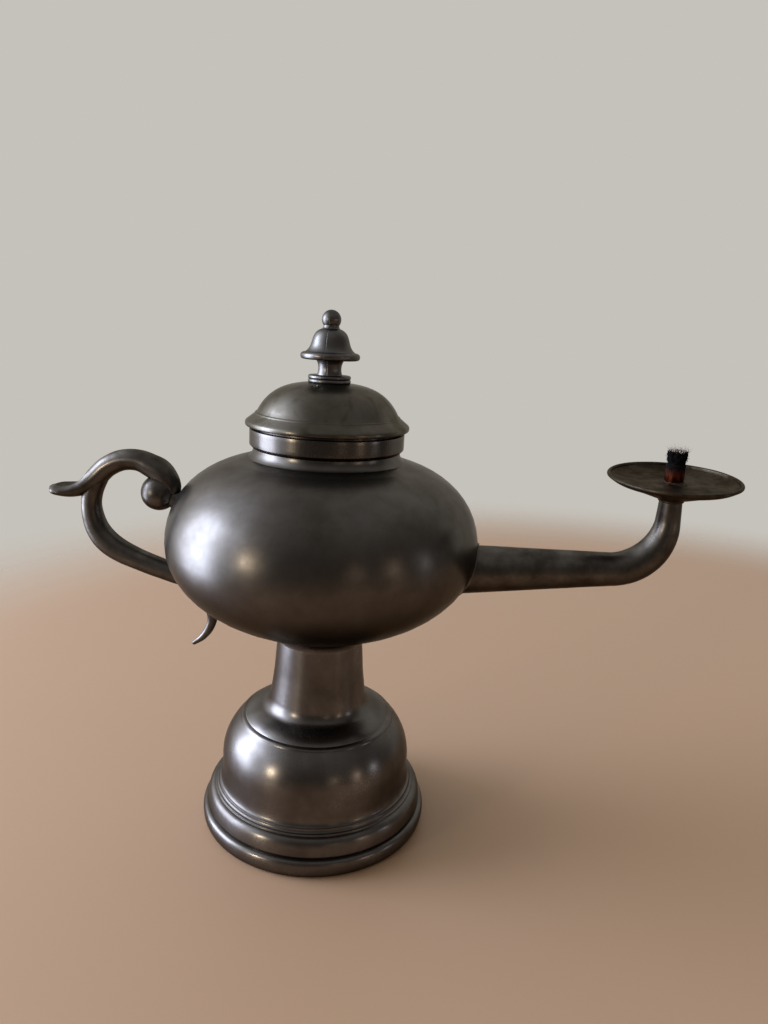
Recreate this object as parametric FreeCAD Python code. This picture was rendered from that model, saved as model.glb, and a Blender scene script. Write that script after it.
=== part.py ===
# A pewter oil lamp on a bell foot: a round font with a lift-off lid, a spout that carries
# a drip pan and a wick tube, and a scroll handle on the other side.
# Millimetres. +Z is up, +X points along the spout, and the origin is on the lamp's axis
# at the surface that it stands on.
import FreeCAD, Part
import math
import os

os.makedirs("parts", exist_ok=True)

# Driving dimensions of the foot: a hollow bell on a rounded bead. Each height counts from
# the top of the form below it, and each inset from the foot's radius
FOOT_RADIUS = 42.2
FOOT_STAND_INSET = 1.8
FOOT_STAND_WIDTH = 4.4
FOOT_BEAD_HEIGHT = 6.7
FOOT_GROOVE_INSET = 2.5
FOOT_OVOLO_INSET = 1.8
FOOT_OVOLO_HEIGHT = 6.9
FOOT_STEP_INSET = 4.7
FOOT_STEP_HEIGHT = 0.6
FOOT_NECKING_INSET = 5.9
FOOT_NECKING_HEIGHT = 1.4
FOOT_BELL_INSET = 7.2
FOOT_FLARE_HEIGHT = 3.9
FOOT_SIDE_HEIGHT = 5.5
FOOT_SHOULDER_INSET = 14.2
FOOT_SHOULDER_HEIGHT = 15.4
FOOT_RING_WIDTH = 1.0
FOOT_RING_HEIGHT = 0.7
FOOT_WALL = 2.2
FOOT_BEAD_MIDDLE_SHARE = 0.61
FOOT_BEAD_UNDER_SHARE = 0.11
FOOT_GROOVE_ROUND_SHARE = 0.3

# Driving dimensions of the hollow stem. Its heights count from its seat on the bell
STEM_DOME_HEIGHT = 3.5
STEM_DOME_SLOPE_WIDTH = 6.4
STEM_FOOT_RADIUS = 17.7
STEM_FOOT_HEIGHT = 8.2
STEM_MIDDLE_RADIUS = 16.4
STEM_MIDDLE_HEIGHT = 18.4
STEM_TOP_RADIUS = 15.6
STEM_HEIGHT = 29.9
STEM_WALL = 2.2
STEM_SPIGOT_INSET = 4.4
STEM_SPIGOT_DEPTH = 3.0
STEM_DOME_POLE_SHARES = ((0.985, 0.55), (0.89, 0.77))
STEM_FILLET_POLE_SHARES = ((0.33, 0.2), (0.07, 0.6))
STEM_WAIST_SHARE = 0.6

# Driving dimensions of the collar between the stem and the font
COLLAR_RADIUS = 17.6
COLLAR_HEIGHT = 5.9
COLLAR_RING_RADIUS = 0.75
COLLAR_RING_HEIGHT = 4.0
COLLAR_TOP_RADIUS = 20.2
COLLAR_BORE = 11.0

# Driving dimensions of the round font, cast in two halves that lap at its widest line
BOWL_RADIUS = 55.0
BOWL_RISE = 29.4
BOWL_DROP = 31.4
BOWL_BASE_RADIUS = 14.5
BOWL_WALL = 1.9
BOWL_LAP_HEIGHT = 2.0
BOWL_TOP_POLE_SHARES = ((1, 0.673), (0.684, 0.966), (0.464, 1))
BOWL_BASE_POLE_SHARES = ((1, 0.589), (0.567, 0.968))

# Driving dimensions of the neck. Its heights count from the top of the font's curve
NECK_STEP_RADIUS = 30.4
NECK_STEP_HEIGHT = 0.6
NECK_STEP_ROUND = 0.7
NECK_STEP_WIDTH = 1.9
NECK_RADIUS = 25.4
NECK_HEIGHT = 3.7
NECK_WALL = 2.8
NECK_COVE_SHARE = 0.33

# Driving dimensions of the bright turned ring on the neck, whose lip carries the lid
BAND_STAND_OUT = 1.3
BAND_CHAMFER = 1.2
BAND_HEIGHT = 6.6
BAND_LIP_INSET = 1.5
BAND_LIP_HEIGHT = 0.9

# Driving dimensions of the lid. Its heights count from the lip that it rests on
LID_OVERHANG = 1.5
LID_BRIM_EDGE = 0.8
LID_BRIM_SLOPE_INSET = 1.2
LID_BRIM_SLOPE_HEIGHT = 2.9
LID_BRIM_WIDTH = 3.8
LID_DOME_FOOT = 4.6
LID_DOME_TOP = 15.1
LID_FLAT_RADIUS = 6.0
LID_WALL = 1.7
LID_BEZEL_WALL = 1.3
LID_BEZEL_DEPTH = 5.0
LID_BRIM_POLE_SHARE = 0.62
LID_CROWN_POLE_SHARES = ((0.87, 0.62), (0.66, 0.97))
VENT_RADIUS = 0.65
VENT_REACH = 11.5
VENT_TURN = -108.0

# Driving dimensions of the finial
FINIAL_BASE_RADIUS = 7.3
FINIAL_BASE_HEIGHT = 2.7
FINIAL_GROOVE = 0.5
FINIAL_STEM_RADIUS = 4.3
FINIAL_STEM_HEIGHT = 5.1
FINIAL_WAIST_RADIUS = 3.7
FINIAL_BELL_RADIUS = 10.1
FINIAL_BELL_HEIGHT = 11.3
FINIAL_BALL_RADIUS = 3.25
FINIAL_PIN_RADIUS = 1.6
FINIAL_PIN_DEPTH = 2.6
FINIAL_PIN_HEAD_RADIUS = 2.9
FINIAL_PIN_HEAD_HEIGHT = 0.9
FINIAL_BASE_LAYER_SHARE = 0.5
FINIAL_BASE_EDGE_SHARE = 0.95
FINIAL_WAIST_SHARES = (0.3, 0.75)
FINIAL_BALL_SHARE = 0.57
FINIAL_PIN_HEAD_SHARE = 0.8
FINIAL_BELL_SHARES = (((0.5, 0.01), (0.72, 0.03), (0.9, 0)),
                      ((0.9, 0), (1, 0), (1, 0.11)),
                      ((1, 0.11), (1, 0.2), (0.84, 0.22)),
                      ((0.84, 0.22), (0.545, 0.383), (0.714, 0.756), (0.337, 0.891)),
                      ((0.337, 0.891), (0.262, 0.9), (0.262, 1)))

# Driving dimensions of the spout: a tapered tube that turns up at its end
SPOUT_ROOT_DROP = 6.2
SPOUT_ROOT_INSET = 1.5
SPOUT_RISE_TURN = 5.0
SPOUT_STAND_OUT = 62.9
SPOUT_BEND_RADIUS = 18.5
SPOUT_UPRIGHT = 7.4
SPOUT_ROOT_RADIUS = 8.5
SPOUT_BEND_START_RADIUS = 5.85
SPOUT_BEND_BULGE = 0.55
SPOUT_BEND_END_RADIUS = 4.15
SPOUT_MOUTH_RADIUS = 3.75
SPOUT_WALL = 1.5
SPOUT_TAIL_IN_BOWL = 8.0
SPOUT_PLACE_SHARES = (0, 0.35, 0.7, 1, 1.2, 1.4, 1.6, 1.8, 2, 2.5, 3)
SPOUT_BEND_MIDDLE_SHARE = 1.5
SPOUT_HOLLOW_END_SHARE = 2.5

# Driving dimensions of the solder that shows where the spout and the handle meet the font
SOLDER_WIDTH = 0.8
SOLDER_HEIGHT = 0.5

# Driving dimensions of the burner. Its heights count from the spout's mouth, and it leans
# a little, with the spout's upright, towards the side that BURNER_LEAN_TURN gives
BURNER_LEAN = 3.9
BURNER_LEAN_TURN = 13.7
PAN_RADIUS = 21.65
PAN_RIM_HEIGHT = 8.3
PAN_RIM_THICKNESS = 1.1
PAN_FLOOR_HEIGHT = 6.1
PAN_FLOOR_RADIUS = 12.0
PAN_WALL = 1.1
PAN_UNDER_POLE_SHARE = 0.9
PAN_TOP_POLE_SHARE = 0.87
CONE_RADIUS = 19.5
CONE_HEIGHT = 6.35
CONE_FOOT_RADIUS = 4.2
CONE_FOOT_HEIGHT = 0.7
CONE_WALL = 1.1
TUBE_RADIUS = 3.1
TUBE_WALL = 0.4
TUBE_STAND = 6.6
TUBE_PLUG_DEPTH = 6.6
TUBE_COLLAR_RADIUS = 4.9
TUBE_COLLAR_HEIGHT = 0.9
TUBE_COLLAR_POLE_SHARE = 0.2

# Driving dimensions of the wick
WICK_RADIUS = 2.5
WICK_STAND = 4.2
WICK_HEAD_RADIUS = 3.35
WICK_TAIL_RADIUS = 2.2
WICK_TAIL_BEND = 12.0
WICK_TAIL_DROP = 4.0
WICK_HEAD_SHARES = (((0.86, 0), (0.95, 0.15), (0.88, 0.5), (1, 0.8)),
                    ((1, 0.8), (1, 1), (0.7, 1)))

# Driving dimensions of the handle. Its places are shares of how far it stands out from the
# font and of how far its arch rises above the font's widest line
HANDLE_STAND_OUT = 46.6
HANDLE_RISE = 27.6
SCROLL_HALF_HEIGHT = 4.2
SCROLL_HALF_WIDTH = 7.0
SCROLL_PLACE_SHARES = ((1.004, 0.424), (0.948, 0.416), (0.884, 0.411), (0.803, 0.422), (0.721, 0.479),
                       (0.631, 0.601), (0.545, 0.743), (0.449, 0.834), (0.36, 0.868), (0.27, 0.862),
                       (0.187, 0.809), (0.118, 0.748), (0.066, 0.65), (0.033, 0.535), (0.043, 0.42))
SCROLL_HEIGHT_SHARES = (0.25, 0.457, 0.562, 0.663, 0.774, 0.9, 0.9, 0.905, 0.91, 0.94,
                        1.01, 1.09, 1.05, 0.91, 0.72)
SCROLL_WIDTH_SHARES = (0.43, 0.9, 1, 0.914, 0.757, 0.614, 0.557, 0.547, 0.547, 0.563,
                       0.6, 0.61, 0.585, 0.525, 0.431)
SCROLL_BALL_RADIUS = 6.5
SCROLL_BALL_PLACE_SHARE = (0.124, 0.46)
PAD_RADIUS = 3.4
PAD_START_SHARE = (0.075, 0.45)
PAD_END_SHARE = (-0.12, 0.28)
DISH_RADIUS = 9.0
DISH_DEPTH = 0.8
DISH_PLACE_SHARE = (0.869, 0.465)
LIMB_RADIUS = 4.35
LIMB_PLACE_SHARES = ((0.6, 0.64), (0.66, 0.42), (0.679, 0.205), (0.652, -0.036), (0.582, -0.228),
                     (0.463, -0.375), (0.271, -0.505), (0.047, -0.62), (-0.127, -0.71), (-0.23, -0.856),
                     (-0.279, -1.038), (-0.301, -1.225), (-0.272, -1.387), (-0.217, -1.52), (-0.149, -1.614))
LIMB_RADIUS_SHARES = (0.79, 0.828, 0.839, 0.931, 1, 0.977, 0.897, 0.85, 0.793, 0.667, 0.529, 0.43,
                      0.368, 0.294, 0.2)

# Clearances and overruns
RUN_CLEARANCE = 0.06
LID_CLEARANCE = 0.3
WICK_CLEARANCE = 0.3
OVERRUN = 5.0

# Counts: the degree of a skin's curves along its path, and the points of an oval section
SKIN_DEGREE = 3
OVAL_STEPS = 12

UP = FreeCAD.Vector(0, 0, 1)
ACROSS = FreeCAD.Vector(0, 1, 0)
ORIGIN = FreeCAD.Vector(0, 0, 0)

# How the pieces stack up along the lamp's axis
STEM_SEAT_RADIUS = FOOT_RADIUS - FOOT_SHOULDER_INSET - FOOT_RING_WIDTH
STEM_SPIGOT_RADIUS = STEM_SEAT_RADIUS - STEM_SPIGOT_INSET
FOOT_OVOLO_TOP = FOOT_BEAD_HEIGHT + FOOT_OVOLO_HEIGHT
FOOT_NECKING_TOP = FOOT_OVOLO_TOP + FOOT_STEP_HEIGHT + FOOT_NECKING_HEIGHT
FOOT_SIDE_TOP = FOOT_NECKING_TOP + FOOT_FLARE_HEIGHT + FOOT_SIDE_HEIGHT
FOOT_TOP = FOOT_SIDE_TOP + FOOT_SHOULDER_HEIGHT
STEM_SEAT = FOOT_TOP + FOOT_RING_HEIGHT
STEM_TOP = STEM_SEAT + STEM_HEIGHT
BOWL_BASE = STEM_TOP + COLLAR_HEIGHT
BOWL_MIDDLE = BOWL_BASE + BOWL_DROP
BOWL_TOP = BOWL_MIDDLE + BOWL_RISE
NECK_BORE = NECK_RADIUS - NECK_WALL
BAND_RADIUS = NECK_RADIUS + BAND_STAND_OUT
BAND_FOOT = BOWL_TOP + NECK_HEIGHT
LID_SEAT = BAND_FOOT + BAND_HEIGHT + BAND_LIP_HEIGHT
LID_RADIUS = BAND_RADIUS + LID_OVERHANG
LID_DOME_RADIUS = LID_RADIUS - LID_BRIM_WIDTH
LID_BEZEL_RADIUS = NECK_BORE - LID_CLEARANCE
FINIAL_FOOT = LID_SEAT + LID_DOME_TOP


def at(reach, height):
    """A point of an outline, in the plane through the lamp's axis and its spout."""
    return FreeCAD.Vector(reach, 0, height)


def line(start, end):
    return Part.makeLine(start, end)


def arc(start, middle, end):
    return Part.Arc(start, middle, end).toShape()


def bezier(*poles):
    curve = Part.BezierCurve()
    curve.setPoles(list(poles))
    return curve.toShape()


def poles_at(shares, reach, base, height):
    """Points given as shares of a reach and of a height above a base."""
    return [at(reach * reach_share, base + height * height_share) for reach_share, height_share in shares]


def chain(*points):
    """Straight edges from each point to the next."""
    return [line(start, end) for start, end in zip(points, points[1:])]


def spun(edges):
    """The solid that a closed outline sweeps as it turns once about the lamp's axis."""
    face = Part.Face(Part.Wire(edges))
    return face.revolve(ORIGIN, UP, 360)


def ring(outer, inner, bottom, top):
    """A plain ring about the lamp's axis."""
    return spun(chain(at(inner, bottom), at(outer, bottom), at(outer, top),
                      at(inner, top), at(inner, bottom)))


def rod(radius, bottom, top):
    """A plain round bar on the lamp's axis."""
    return Part.makeCylinder(radius, top - bottom, at(0, bottom), UP)


def disc_wire(centre, heading, radius):
    """A round section of a tube or a handle, square to its path. Each one starts on the same
    side, so that the skin through them doesn't twist."""
    wire = Part.Wire(Part.makeCircle(radius))
    turn = FreeCAD.Rotation(ACROSS, heading.cross(ACROSS), heading, "ZXY")
    wire.Placement = FreeCAD.Placement(centre, turn)
    return wire


def skin(sections):
    """The solid whose smooth skin goes through a row of sections."""
    return Part.makeLoft(sections, True, False, False, SKIN_DEGREE)


def write(name, shape):
    """Checks one sub-part and writes its STEP file."""
    solids = shape.Solids
    if not solids or not shape.isValid():
        raise ValueError(name + " is not a valid solid")
    piece = solids[0] if len(solids) == 1 else Part.makeCompound(solids)
    piece.exportStep("parts/" + name + ".step")
    box = piece.BoundBox
    print(name, len(solids), round(piece.Volume, 1),
          [round(v, 2) for v in (box.XMin, box.YMin, box.ZMin, box.XMax, box.YMax, box.ZMax)])


# The font's two halves

def bowl_half(side, middle, end):
    """Spins one half of the font from its side's curve, closed along its widest line and axis."""
    return spun([side, line(end, at(0, end.z)), line(at(0, end.z), at(0, BOWL_MIDDLE)),
                 line(at(0, BOWL_MIDDLE), middle)])


def bowl_halves(inset):
    """The upper and lower halves of the filled font, their surface moved in by inset."""
    wide = BOWL_RADIUS - inset
    middle = at(wide, BOWL_MIDDLE)
    top_poles = poles_at(BOWL_TOP_POLE_SHARES, wide, BOWL_MIDDLE, BOWL_RISE - inset)
    base_poles = poles_at(BOWL_BASE_POLE_SHARES, wide, BOWL_MIDDLE, inset - BOWL_DROP)
    base_poles.append(at(BOWL_BASE_RADIUS, BOWL_BASE + inset))
    return (bowl_half(bezier(middle, *top_poles), middle, top_poles[-1]),
            bowl_half(bezier(middle, *base_poles), middle, base_poles[-1]))


BOWL_TOP_OUT, BOWL_BASE_OUT = bowl_halves(0)
BOWL_TOP_IN, BOWL_BASE_IN = bowl_halves(BOWL_WALL)
BOWL_OUT = BOWL_TOP_OUT.fuse(BOWL_BASE_OUT)


def bowl_lap():
    """The step by which the lower half stands up inside the upper one."""
    outer = BOWL_RADIUS - BOWL_WALL / 2
    return ring(outer, outer - BOWL_WALL, BOWL_MIDDLE, BOWL_MIDDLE + BOWL_LAP_HEIGHT)


def bowl_lower():
    shell = BOWL_BASE_OUT.cut(BOWL_BASE_IN)
    lap = bowl_lap().cut(BOWL_TOP_IN)
    return shell.fuse(lap).removeSplitter().cut(spout_tube(0))


def neck_seat():
    """The raised ring and short neck on top of the font, which carry the bright ring."""
    deep = BOWL_TOP - OVERRUN
    step = BOWL_TOP + NECK_STEP_HEIGHT
    edge = at(NECK_STEP_RADIUS, step - NECK_STEP_ROUND)
    shelf = at(NECK_STEP_RADIUS - NECK_STEP_WIDTH, step)
    top = at(NECK_RADIUS, BAND_FOOT)
    cove = at(NECK_RADIUS, step + (BAND_FOOT - step) * NECK_COVE_SHARE)
    return spun([line(at(NECK_BORE, deep), at(NECK_STEP_RADIUS, deep)),
                 line(at(NECK_STEP_RADIUS, deep), edge),
                 bezier(edge, at(NECK_STEP_RADIUS, step), shelf),
                 bezier(shelf, cove, top),
                 line(top, at(NECK_BORE, BAND_FOOT)),
                 line(at(NECK_BORE, BAND_FOOT), at(NECK_BORE, deep))])


def bowl_upper():
    shell = BOWL_TOP_OUT.fuse(neck_seat()).cut(BOWL_TOP_IN)
    shell = shell.cut(rod(NECK_BORE, BOWL_MIDDLE, BAND_FOOT + OVERRUN))
    shell = shell.cut(bowl_lap())
    return shell.removeSplitter().cut(spout_tube(0))


def neck_band():
    """The bright turned ring on the neck: its inner lip carries the lid."""
    lip = BAND_RADIUS - BAND_LIP_INSET
    top = LID_SEAT - BAND_LIP_HEIGHT
    return spun(chain(at(NECK_BORE, BAND_FOOT), at(BAND_RADIUS - BAND_CHAMFER, BAND_FOOT),
                      at(BAND_RADIUS, BAND_FOOT + BAND_CHAMFER), at(BAND_RADIUS, top),
                      at(lip, top), at(lip, LID_SEAT), at(NECK_BORE, LID_SEAT), at(NECK_BORE, BAND_FOOT)))


# The foot and the stem

def shoulder_middle(side, top):
    """The middle of the arc that leaves side straight up and ends at top."""
    run = side.x - top.x
    rise = top.z - side.z
    radius = (run * run + rise * rise) / (2 * run)
    half = math.asin(rise / radius) / 2
    return at(side.x - radius + radius * math.cos(half), side.z + radius * math.sin(half))


def foot_side():
    """The foot's outer edges, from the surface that it stands on up to its shoulder."""
    groove_reach = FOOT_RADIUS - FOOT_GROOVE_INSET
    ovolo_reach = FOOT_RADIUS - FOOT_OVOLO_INSET
    step_reach = FOOT_RADIUS - FOOT_STEP_INSET
    necking_reach = FOOT_RADIUS - FOOT_NECKING_INSET
    bell_reach = FOOT_RADIUS - FOOT_BELL_INSET
    stand = at(FOOT_RADIUS - FOOT_STAND_INSET, 0)
    bead = at(FOOT_RADIUS, FOOT_BEAD_HEIGHT * FOOT_BEAD_MIDDLE_SHARE)
    groove = at(groove_reach, FOOT_BEAD_HEIGHT)
    groove_pole = at(groove_reach + FOOT_GROOVE_INSET * FOOT_GROOVE_ROUND_SHARE, FOOT_BEAD_HEIGHT)
    ovolo = at(ovolo_reach, FOOT_BEAD_HEIGHT + FOOT_OVOLO_HEIGHT / 2)
    step = at(step_reach, FOOT_OVOLO_TOP)
    step_top = at(step_reach, FOOT_OVOLO_TOP + FOOT_STEP_HEIGHT)
    necking = at(necking_reach, FOOT_NECKING_TOP)
    flare = at(bell_reach, FOOT_NECKING_TOP + FOOT_FLARE_HEIGHT)
    side = at(bell_reach, FOOT_SIDE_TOP)
    shoulder = at(FOOT_RADIUS - FOOT_SHOULDER_INSET, FOOT_TOP)
    return [bezier(stand, at(FOOT_RADIUS, FOOT_BEAD_HEIGHT * FOOT_BEAD_UNDER_SHARE), bead),
            bezier(bead, at(FOOT_RADIUS, FOOT_BEAD_HEIGHT), groove_pole, groove),
            bezier(groove, at(ovolo_reach, FOOT_BEAD_HEIGHT), ovolo),
            bezier(ovolo, at(ovolo_reach, FOOT_OVOLO_TOP), step),
            line(step, step_top),
            bezier(step_top, at(necking_reach, step_top.z), necking),
            bezier(necking, at(bell_reach, FOOT_NECKING_TOP), flare),
            line(flare, side),
            arc(side, shoulder_middle(side, shoulder), shoulder)]


def foot_bell():
    """The hollow foot: a bead, a groove, an ovolo, a step, and a bell that carries the stem."""
    shoulder = at(FOOT_RADIUS - FOOT_SHOULDER_INSET, FOOT_TOP)
    bell_reach = FOOT_RADIUS - FOOT_BELL_INSET - FOOT_WALL
    inner_stand = FOOT_RADIUS - FOOT_STAND_INSET - FOOT_STAND_WIDTH
    inner_top = FOOT_TOP - FOOT_WALL
    inner_shoulder = at(shoulder.x - FOOT_WALL, inner_top)
    inner_side = at(bell_reach, FOOT_SIDE_TOP)
    inner_edges = chain(shoulder, at(STEM_SEAT_RADIUS, FOOT_TOP), at(STEM_SEAT_RADIUS, STEM_SEAT),
                        at(STEM_SPIGOT_RADIUS, STEM_SEAT), at(STEM_SPIGOT_RADIUS, inner_top), inner_shoulder)
    inner_edges.append(arc(inner_shoulder, shoulder_middle(inner_side, inner_shoulder), inner_side))
    inner_edges += chain(inner_side, at(bell_reach, FOOT_NECKING_TOP),
                         at(inner_stand, FOOT_OVOLO_TOP - FOOT_WALL), at(inner_stand, 0),
                         at(FOOT_RADIUS - FOOT_STAND_INSET, 0))
    return spun(foot_side() + inner_edges)


def stem():
    """The hollow stem: a dome on the bell, a fillet and a slightly tapered column."""
    seat = at(STEM_SEAT_RADIUS, STEM_SEAT)
    dome = at(STEM_SEAT_RADIUS - STEM_DOME_SLOPE_WIDTH, STEM_SEAT + STEM_DOME_HEIGHT)
    foot = at(STEM_FOOT_RADIUS, STEM_SEAT + STEM_FOOT_HEIGHT)
    middle = at(STEM_MIDDLE_RADIUS, STEM_SEAT + STEM_MIDDLE_HEIGHT)
    waist = foot + at(middle.x - foot.x, 0) * STEM_WAIST_SHARE + at(0, (middle.z - foot.z) / 2)
    top = at(STEM_TOP_RADIUS, STEM_TOP)
    dome_poles = poles_at(STEM_DOME_POLE_SHARES, STEM_SEAT_RADIUS, STEM_SEAT, STEM_DOME_HEIGHT)
    fillet_poles = [at(foot.x + (dome.x - foot.x) * reach_share, dome.z + (foot.z - dome.z) * height_share)
                    for reach_share, height_share in STEM_FILLET_POLE_SHARES]
    bottom = STEM_SEAT - STEM_SPIGOT_DEPTH
    spigot_bore = STEM_SPIGOT_RADIUS - STEM_WALL
    edges = [bezier(seat, *dome_poles, dome), bezier(dome, *fillet_poles, foot), bezier(foot, waist, middle)]
    edges += chain(middle, top, at(top.x - STEM_WALL, top.z), at(foot.x - STEM_WALL, foot.z),
                   at(dome.x - STEM_WALL, dome.z - STEM_WALL), at(spigot_bore, STEM_SEAT),
                   at(spigot_bore, bottom), at(STEM_SPIGOT_RADIUS, bottom),
                   at(STEM_SPIGOT_RADIUS, STEM_SEAT), seat)
    return spun(edges)


def stem_collar():
    """The turned ring and cove between the stem's top and the underside of the font."""
    ring_middle = STEM_TOP + COLLAR_RING_HEIGHT
    ring_low = ring_middle - COLLAR_RING_RADIUS
    ring_high = ring_middle + COLLAR_RING_RADIUS
    neck = COLLAR_RADIUS - COLLAR_RING_RADIUS
    top = BOWL_BASE + BOWL_WALL
    edges = [bezier(at(STEM_TOP_RADIUS, STEM_TOP), at(STEM_TOP_RADIUS, (STEM_TOP + ring_low) / 2),
                    at(neck, ring_low)),
             arc(at(neck, ring_low), at(COLLAR_RADIUS, ring_middle), at(neck, ring_high)),
             bezier(at(neck, ring_high), at(COLLAR_RADIUS, ring_high), at(COLLAR_TOP_RADIUS, top))]
    edges += chain(at(COLLAR_TOP_RADIUS, top), at(COLLAR_BORE, top), at(COLLAR_BORE, STEM_TOP),
                   at(STEM_TOP_RADIUS, STEM_TOP))
    return spun(edges).cut(BOWL_BASE_OUT)


# The lid and its finial

def crown(radius, top):
    """The edge of the lid's dome, from its foot up to its flat middle."""
    foot = LID_SEAT + LID_DOME_FOOT
    poles = poles_at(LID_CROWN_POLE_SHARES, radius, foot, top - foot)
    return [at(radius, foot), *poles, at(LID_FLAT_RADIUS, top)]


def lid_dome():
    """The lid: a hollow dome on a sloped brim, with a small vent hole beside the finial."""
    under = at(LID_RADIUS - LID_BRIM_EDGE, LID_SEAT)
    edge = at(LID_RADIUS, LID_SEAT + LID_BRIM_EDGE)
    slope = at(LID_RADIUS - LID_BRIM_SLOPE_INSET, LID_SEAT + LID_BRIM_SLOPE_HEIGHT)
    slope_pole = at(LID_RADIUS, edge.z + (slope.z - edge.z) * LID_BRIM_POLE_SHARE)
    outer = crown(LID_DOME_RADIUS, FINIAL_FOOT)
    inner = crown(LID_DOME_RADIUS - LID_WALL, FINIAL_FOOT - LID_WALL)
    edges = [bezier(under, at(LID_RADIUS, LID_SEAT), edge), bezier(edge, slope_pole, slope),
             line(slope, outer[0]), bezier(*outer)]
    edges += chain(outer[-1], at(0, FINIAL_FOOT), at(0, FINIAL_FOOT - LID_WALL), inner[-1])
    edges += [bezier(*reversed(inner))]
    edges += chain(inner[0], at(inner[0].x, LID_SEAT), under)
    vent = rod(VENT_RADIUS, LID_SEAT, FINIAL_FOOT + OVERRUN)
    vent.translate(at(VENT_REACH, 0))
    vent.rotate(ORIGIN, UP, VENT_TURN)
    pin = rod(FINIAL_PIN_RADIUS, FINIAL_FOOT - OVERRUN, FINIAL_FOOT + OVERRUN)
    return spun(edges).cut(vent).cut(pin)


def lid_bezel():
    """The ring soldered inside the lid, which drops into the neck."""
    inner = LID_BEZEL_RADIUS - LID_BEZEL_WALL
    lead = LID_BEZEL_WALL / 2
    bottom = LID_SEAT - LID_BEZEL_DEPTH
    top = LID_SEAT + LID_BEZEL_WALL
    flange = LID_DOME_RADIUS - LID_WALL
    return spun(chain(at(inner, bottom), at(LID_BEZEL_RADIUS - lead, bottom),
                      at(LID_BEZEL_RADIUS, bottom + lead), at(LID_BEZEL_RADIUS, LID_SEAT),
                      at(flange, LID_SEAT), at(flange, top), at(inner, top), at(inner, bottom)))


def finial_base():
    """The two-layer disc under the finial, with a groove round its edge."""
    layer = FINIAL_BASE_HEIGHT * FINIAL_BASE_LAYER_SHARE
    top = FINIAL_FOOT + FINIAL_BASE_HEIGHT
    upper_edge = FINIAL_FOOT + FINIAL_BASE_HEIGHT * FINIAL_BASE_EDGE_SHARE
    narrow = FINIAL_BASE_RADIUS - FINIAL_GROOVE
    low = at(narrow, FINIAL_FOOT)
    groove = at(narrow, FINIAL_FOOT + layer)
    high = at(narrow, upper_edge)
    edges = [arc(low, at(FINIAL_BASE_RADIUS, (low.z + groove.z) / 2), groove),
             arc(groove, at(FINIAL_BASE_RADIUS, (groove.z + high.z) / 2), high)]
    edges += chain(high, at(FINIAL_STEM_RADIUS + FINIAL_GROOVE, top), at(FINIAL_PIN_RADIUS, top),
                   at(FINIAL_PIN_RADIUS, FINIAL_FOOT), low)
    return spun(edges)


def finial():
    """The cast finial: a waisted stem, a bell and a ball, on a pin riveted inside the lid."""
    foot = FINIAL_FOOT + FINIAL_BASE_HEIGHT
    rim = foot + FINIAL_STEM_HEIGHT
    pin_foot = FINIAL_FOOT - FINIAL_PIN_DEPTH
    groups = [poles_at(shares, FINIAL_BELL_RADIUS, rim, FINIAL_BELL_HEIGHT) for shares in FINIAL_BELL_SHARES]
    waist = [at(FINIAL_WAIST_RADIUS, foot + FINIAL_STEM_HEIGHT * share) for share in FINIAL_WAIST_SHARES]
    edges = chain(at(0, pin_foot), at(FINIAL_PIN_RADIUS, pin_foot), at(FINIAL_PIN_RADIUS, foot),
                  at(FINIAL_STEM_RADIUS, foot))
    edges += [bezier(at(FINIAL_STEM_RADIUS, foot), *waist, groups[0][0])]
    edges += [bezier(*poles) for poles in groups]
    top = groups[-1][-1]
    edges += chain(top, at(0, top.z), at(0, pin_foot))
    ball_middle = rim + FINIAL_BELL_HEIGHT + FINIAL_BALL_RADIUS * FINIAL_BALL_SHARE
    ball = Part.makeSphere(FINIAL_BALL_RADIUS, at(0, ball_middle))
    return spun(edges).fuse(ball).removeSplitter()


def finial_rivet():
    """The head peened over on the pin, inside the lid."""
    head = Part.makeCone(FINIAL_PIN_HEAD_RADIUS * FINIAL_PIN_HEAD_SHARE, FINIAL_PIN_HEAD_RADIUS,
                         FINIAL_PIN_HEAD_HEIGHT, at(0, FINIAL_FOOT - LID_WALL - FINIAL_PIN_HEAD_HEIGHT), UP)
    return head.cut(rod(FINIAL_PIN_RADIUS, LID_SEAT, FINIAL_FOOT))


# The spout

SPOUT_SLOPE = math.radians(SPOUT_RISE_TURN)
SPOUT_HEADING = at(math.cos(SPOUT_SLOPE), math.sin(SPOUT_SLOPE))
SPOUT_ROOT = at(BOWL_RADIUS - SPOUT_ROOT_INSET, BOWL_MIDDLE - SPOUT_ROOT_DROP)
SPOUT_REACH = BOWL_RADIUS + SPOUT_STAND_OUT
SPOUT_CORNER = SPOUT_ROOT.z + (SPOUT_REACH - SPOUT_ROOT.x) * math.tan(SPOUT_SLOPE)
BEND_END = at(SPOUT_REACH, SPOUT_CORNER + SPOUT_BEND_RADIUS * math.tan((math.pi / 2 - SPOUT_SLOPE) / 2))
BEND_CENTRE = BEND_END - at(SPOUT_BEND_RADIUS, 0)
BEND_START = BEND_CENTRE + at(math.sin(SPOUT_SLOPE), -math.cos(SPOUT_SLOPE)) * SPOUT_BEND_RADIUS
SPOUT_MOUTH = BEND_END + UP * SPOUT_UPRIGHT
LEAN_SIDE = math.radians(BURNER_LEAN_TURN)
LEAN_AXIS = FreeCAD.Vector(math.cos(LEAN_SIDE), -math.sin(LEAN_SIDE), 0)


def lean(shape):
    """Leans what stands on the spout's upright about the end of the bend."""
    shape.rotate(BEND_END, LEAN_AXIS, BURNER_LEAN)
    return shape


def between(start, end, share):
    """The value or point at a share of the way from start to end."""
    return start + (end - start) * share


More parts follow.
